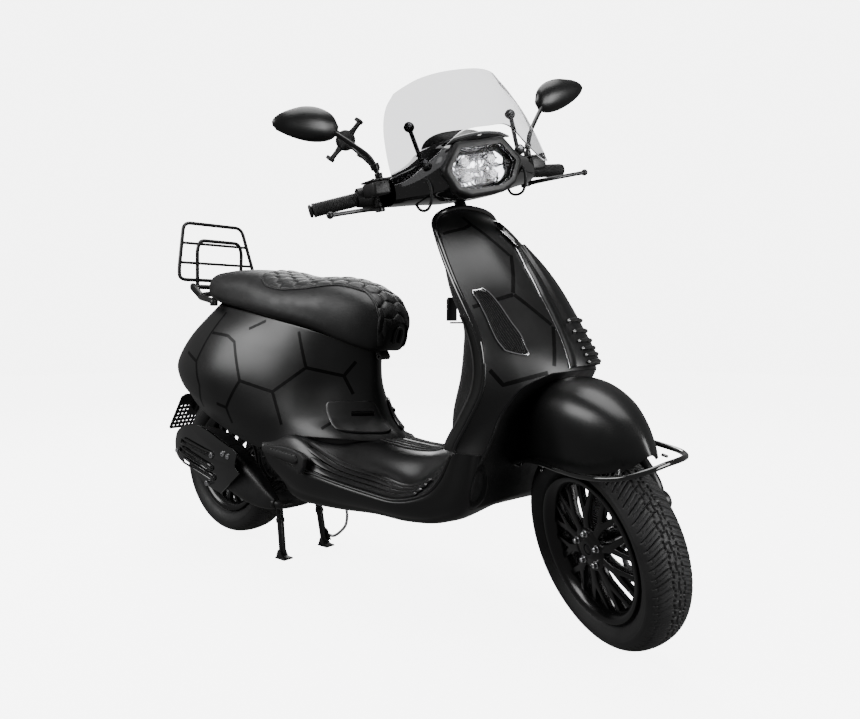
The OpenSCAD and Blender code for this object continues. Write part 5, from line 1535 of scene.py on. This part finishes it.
def make_muffler():
    """Box silencer, its gloss guard with nested slots, pipe with clamp, and bolts."""
    rows = [(-694, -176, -128, 322, 24), (-688, -182, -122, 322, 38), (-670, -184, -118, 322, 48),
            (-600, -187, -112, 314, 60), (-520, -188, -110, 292, 68), (-450, -186, -112, 262, 68),
            (-390, -182, -118, 236, 60), (-340, -176, -124, 214, 46), (-304, -170, -130, 199, 32),
            (-280, -165, -135, 191, 22), (-266, -161, -139, 187, 15)]
    net = smooth(rows, 90)
    can = loft("can", [super_ring(*row) for row in net])
    pipe = smooth([(-330, -150, 205), (-300, -150, 194), (-276, -148, 187), (-258, -140, 183),
                            (-244, -106, 184), (-216, -72, 196), (-206, -46, 220), (-206, -36, 254)], 90)
    parts = [can, tube("pipe", pipe, 12.6), rod("stay", (-620, -122, 300), (-600, -76, 290), 9, 2)]
    for t in (0.30, 0.9):
        k = int(t * 89)
        d = Vector(pipe[k + 1] - pipe[k - 1]).normalized()
        parts.append(rod("flange", Vector(pipe[k]) - d * 5, Vector(pipe[k]) + d * 5, 17.5, 2))
    parts += [rod("tail", (-668, -152, 300), (-702, -158, 292), 12, 1),
              tube("seam", super_ring(-462, -187.5, -111, 266.5, 69), 1.6, True, 3)]
    add(join("silencer", parts), "engine", EXHAUST, "muffler")
    outer = [(-726, 322), (-722, 345), (-708, 361), (-669, 377), (-607, 385), (-540, 374), (-460, 350),
             (-384, 328), (-381, 318), (-388, 292), (-384, 280), (-371, 270), (-374, 262), (-476, 194),
             (-486, 192), (-547, 208), (-584, 230), (-640, 256), (-690, 272), (-716, 292)]
    curve = [tuple(p) for p in smooth(outer + outer[:1], 90)[:-1]]

    def bowed(a, b, y):
        return (a, y + 12 * (abs(b - 290) / 90) ** 2 + 10 * max(0, (-640 - a) / 80) ** 2, b)

    guard = bake(slab("guard", curve, bowed, -204, -198, 2.6, 3))
    ribs = []
    for a, b in (((-676, 331), (-508, 303)), ((-684, 305), (-516, 264)), ((-662, 273), (-508, 235))):
        slot = smooth([a, lerp(a, b, 0.5), b], 9)
        side = [(x + 2, z + 7.5) for x, z in slot] + [(slot[-1][0] + 9, slot[-1][1] - 2)]
        side += [(x - 2, z - 7.5) for x, z in slot[::-1]] + [(slot[0][0] - 9, slot[0][1] + 2)]
        guard = cut(guard, side_slab("slot", side, -215, -185, 0))
        loop = smooth([(x, z) for x, z in side[::2]], 60, True)
        ribs.append(tube("rib", [bowed(x, z, -203.5) for x, z in loop], 2.6, True, 4))
    add(join("guard_ribs", ribs), "engine", GLOSS)
    back = [(-560 + (x + 560) * 0.9, 290 + (z - 290) * 0.88) for x, z in curve]
    add(bake(slab("guard_pocket", back, bowed, -196, -193, 1, 2)), "engine", EXHAUST, slot="gloss_black")
    add(guard, "engine", GLOSS)
    bolts = []
    for x, z in ((-508, 303), (-449, 315), (-424, 310), (-696, 298), (-534, 216)):
        bolts.append(revolve("bolt", [(0, 4), (3.4, 4), (3.8, 0), (7, 0), (8, 1.2), (8, 12), (0, 12)],
                     (x, -206, z), (0, 1, 0), 32))
    add(join("guard_bolts", bolts), "engine", STEEL)


def make_shock():
    a, b = np.array((-640, 150, 290.0)), np.array((-560, 148, 540.0))
    axis = b - a
    parts = [spring("coil", a, b, 20, 62, 0.2, 0.86, 4.2, 420, 5)]
    add(join("rear_spring", parts), "engine", STEEL, "rear_shock")
    damper = [rod("body", a, a + axis * 0.5, 13, 3), rod("rodded", a + axis * 0.48, b, 6, 1),
              rod("seat", a + axis * 0.17, a + axis * 0.2, 24, 2),
              rod("cap", a + axis * 0.86, a + axis * 0.9, 24, 2)]
    add(join("rear_damper", damper), "engine", TUBE, "rear_shock")


# ---- stand, pegs, key ----

def make_stand():
    parts = [rod("pivot", (-352, -96, 172), (-352, 96, 172), 7, 1),
             rod("cross", (-352, -84, 172), (-352, 84, 172), 13, 3)]
    for s in (-1, 1):
        parts.append(rod("leg", (-352, s * 74, 172), (-325, s * 82, 8), 10.5, 2))
        parts.append(rod("collar", (-343, s * 77, 118), (-341, s * 77.6, 104), 13, 2))
        y = sorted((s * 66, s * 100))
        foot = [(-341, 0), (-297, 0), (-297, 5), (-312, 10), (-322, 26), (-334, 26), (-341, 8)]
        parts.append(side_slab("foot", foot, y[0] + 4, y[1] - 6, 2))
        parts.append(block("sole", (-341, y[0], 0), (-297, y[1], 5), 1.5))
    gusset = [(-340, 60), (-322, 20), (-300, 20), (-318, 52)]
    parts.append(side_slab("gusset", gusset, 84, 90, 1.5))
    add(join("stand_tubes", parts), "stand", TUBE, "centre_stand")
    tang = smooth([(-329, 84, 40), (-313, 112, 26), (-297, 142, 50), (-295, 152, 82), (-301, 152, 120)],
                  50)
    add(tube("stand_tang", tang, 4.6), "stand", STEEL)


def make_pegs():
    for name, s, node in (("right", -1, "peg_right"), ("left", 1, "peg_left")):
        def at(a, b, y, s=s):
            return (a, s * y, b)

        bar = [(-238, 356), (-230, 348), (-190, 343), (-110, 330), (-92, 322), (-76, 310), (-64, 330),
               (-60, 350), (-76, 362), (-110, 370), (-150, 373), (-224, 370), (-236, 364)]
        arm = bake(slab("arm", bar, at, 208, 222, 3, 3))
        pad = bake(slab("pad", [(-206, 352), (-200, 347), (-92, 334), (-84, 342), (-90, 358), (-198, 366)],
                   at, 205, 229, 5, 3))
        parts = [arm, pad, rod("barrel", (-84, s * 214, 307), (-84, s * 214, 341), 8, 1)]
        for k in range(8):
            x = -194 + 13 * k
            parts.append(rod("tread", (x, s * 205, 364 - 0.07 * (x + 194)),
                         (x, s * 229, 364 - 0.07 * (x + 194)), 2, .5))
        add(weld(join(f"passenger_peg_{name}", parts)), f"footpeg_{name}", RUBBER, node)


def make_key():
    """Ignition key with a ring and a leather fob hanging from it."""
    barrel = revolve("barrel", [(0, 0), (9, 0), (10, 1), (10, 5), (0, 5)], (236, 60, 880), (-1, 0, 0.1), 36)
    ring = [(226 + 1.5 * math.sin(a), 60 - 12 * math.sin(a), 848 - 20 * math.cos(a)) for a in
            np.linspace(0, 2 * math.pi, 40, endpoint=False)]
    strap = tube("strap", [(225, 50, 832), (224, 46, 800), (223, 42, 772)], 3)
    add(join("key_barrel", [barrel, tube("ring", ring, 1.3, True, 4)]), "key", STEEL)
    fob = slab("fob", [(18, 707), (55, 707), (55, 762), (50, 768), (23, 768), (18, 762)], lambda y, z,
               x: (x, y, z), 219, 227, 2.5, 3)
    add(join("key_fob", [strap, fob]), "key", LEATHER)


# ---- CAD shapes that stay ----

KEPT = {"head_tube": TUBE, "helmet_bucket": PLASTIC, "fuel_tank": PLASTIC, "fuel_cap": RUBBER,
        "subframe": TUBE, "starter_button": RED_PLASTIC, "horn_button": PLASTIC, "indicator_switch": PLASTIC,
        "seat_base": PLASTIC, "glovebox_door": PLASTIC, "ignition_key": STEEL}


# ---- camera, floor and light ----

def make_stage():
    paper = paint("floor_paper", (0.8, 0.8, 0.8), 0.8, 0, ((6, 4), 0.75, 0.85), None,
                  [((90, 3), 0.0003, 0.1)], Emission_Color=(1, 1, 1, 1), Emission_Strength=6.0)
    floor = mesh_object("floor", [(-9000, -9000, 0), (9000, -9000, 0), (9000, 9000, 0), (-9000, 9000, 0)],
                        [(0, 1, 2, 3)])
    floor.data.materials.append(paper)
    floor.visible_glossy = False
    floor.visible_diffuse = False
    dome = bpy.data.materials.new("backdrop_light")
    dome.use_nodes = True
    tree = dome.node_tree
    tree.nodes.clear()
    glow = tree.nodes.new("ShaderNodeEmission")
    glow.inputs["Color"].default_value = (1, 1, 1, 1)
    glow.inputs["Strength"].default_value = 6.0
    tree.links.new(glow.outputs[0], tree.nodes.new("ShaderNodeOutputMaterial").inputs["Surface"])
    profile = [(8800 * math.cos(a), 8800 * math.sin(a)) for a in np.linspace(-0.02, math.pi / 2, 20)]
    sky = revolve("backdrop", profile, (0, 0, 0), (0, 0, 1), 64)
    sky.data.materials.append(dome)
    for kind in ("diffuse", "glossy", "shadow", "volume_scatter"):
        setattr(sky, f"visible_{kind}", False)
    world = bpy.data.worlds.new("studio")
    bpy.context.scene.world = world
    world.use_nodes = True
    world.node_tree.nodes["Background"].inputs["Color"].default_value = (1, 1, 1, 1)
    world.node_tree.nodes["Background"].inputs["Strength"].default_value = 0.18


def softbox(name, place, aim, width, height, power):
    light = bpy.data.lights.new(name, "AREA")
    light.shape = "RECTANGLE"
    light.size, light.size_y = width, height
    light.energy = power
    obj = bpy.data.objects.new(name, light)
    bpy.context.collection.objects.link(obj)
    obj.location = place
    obj.rotation_euler = (Vector(aim) - Vector(place)).to_track_quat("-Z", "Y").to_euler()


def make_lights():
    softbox("key_left", (-1.6, -2.6, 2.3), (-0.3, 0, 0.6), 2.4, 1.6, 95)
    softbox("front_right", (3.1, -0.1, 1.0), (0.7, 0, 0.5), 1.2, 1.8, 75)
    softbox("overhead", (0.1, 0.2, 3.2), (0, 0, 0), 3.2, 1.6, 80)
    softbox("back", (-2.2, 2.4, 2.2), (0, 0, 0.6), 2.0, 1.2, 60)


def make_camera():
    data = bpy.data.cameras.new("camera")
    data.lens = 31.14
    data.sensor_width = 36
    data.clip_start = 0.02
    camera = bpy.data.objects.new("camera", data)
    bpy.context.collection.objects.link(camera)
    turn, dip = math.radians(40.26), math.radians(3.12)
    forward = Vector((-math.sin(turn) * math.cos(dip), math.cos(turn) * math.cos(dip), -math.sin(dip)))
    right = Vector((math.cos(turn), math.sin(turn), 0))
    pose = Matrix((right, right.cross(forward), -forward)).transposed().to_4x4()
    pose.translation = (1.4220, -1.4660, 0.7122)
    camera.matrix_world = pose
    bpy.context.scene.camera = camera


def dress_kept():
    for name, material in KEPT.items():
        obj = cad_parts[name]
        for slot in obj.material_slots:
            slot.material = material


def build():
    for make in (make_panels, make_shield_trim, make_indicators, make_nose, make_floor_details,
                 make_access_cover, make_rear_light, make_plate, make_rack, make_seat):
        make()
    make_tyre("front_tyre_tread", FRONT_AXLE, 229, 110, "front_wheel", "front_tyre")
    make_tyre("rear_tyre_tread", REAR_AXLE, 236, 120, "rear_wheel", "rear_tyre")
    make_rim("front", FRONT_AXLE, -38, 36, "front_wheel", "front_rim")
    make_rim("rear", REAR_AXLE, -34, 60, "rear_wheel", "rear_rim")
    for make in (make_bolts, make_brake, make_fork, make_fender_bumper, make_headset, make_screen, make_bars,
                 make_pods):
        make()
    sides = ((-1, "right"), (1, "left"))
    for side, name in sides:
        make_lever(side, f"brake_lever_{name}_blade", f"brake_lever_{name}", f"lever_{name}")
    for side, name in sides:
        make_mirror(side, f"mirror_{name}_head", f"mirror_{name}", f"mirror_{name}")
    for make in (make_phone_holder, make_hoses, make_engine, make_belt_case, make_stand, make_pegs,
                 make_key):
        make()
    make_lines("body_lines", body_skin, BODY_LINES)
    make_lines("shield_lines", shield_skin, SHIELD_LINES)
    dress_kept()
    make_stage()
    make_lights()
    make_camera()


build()
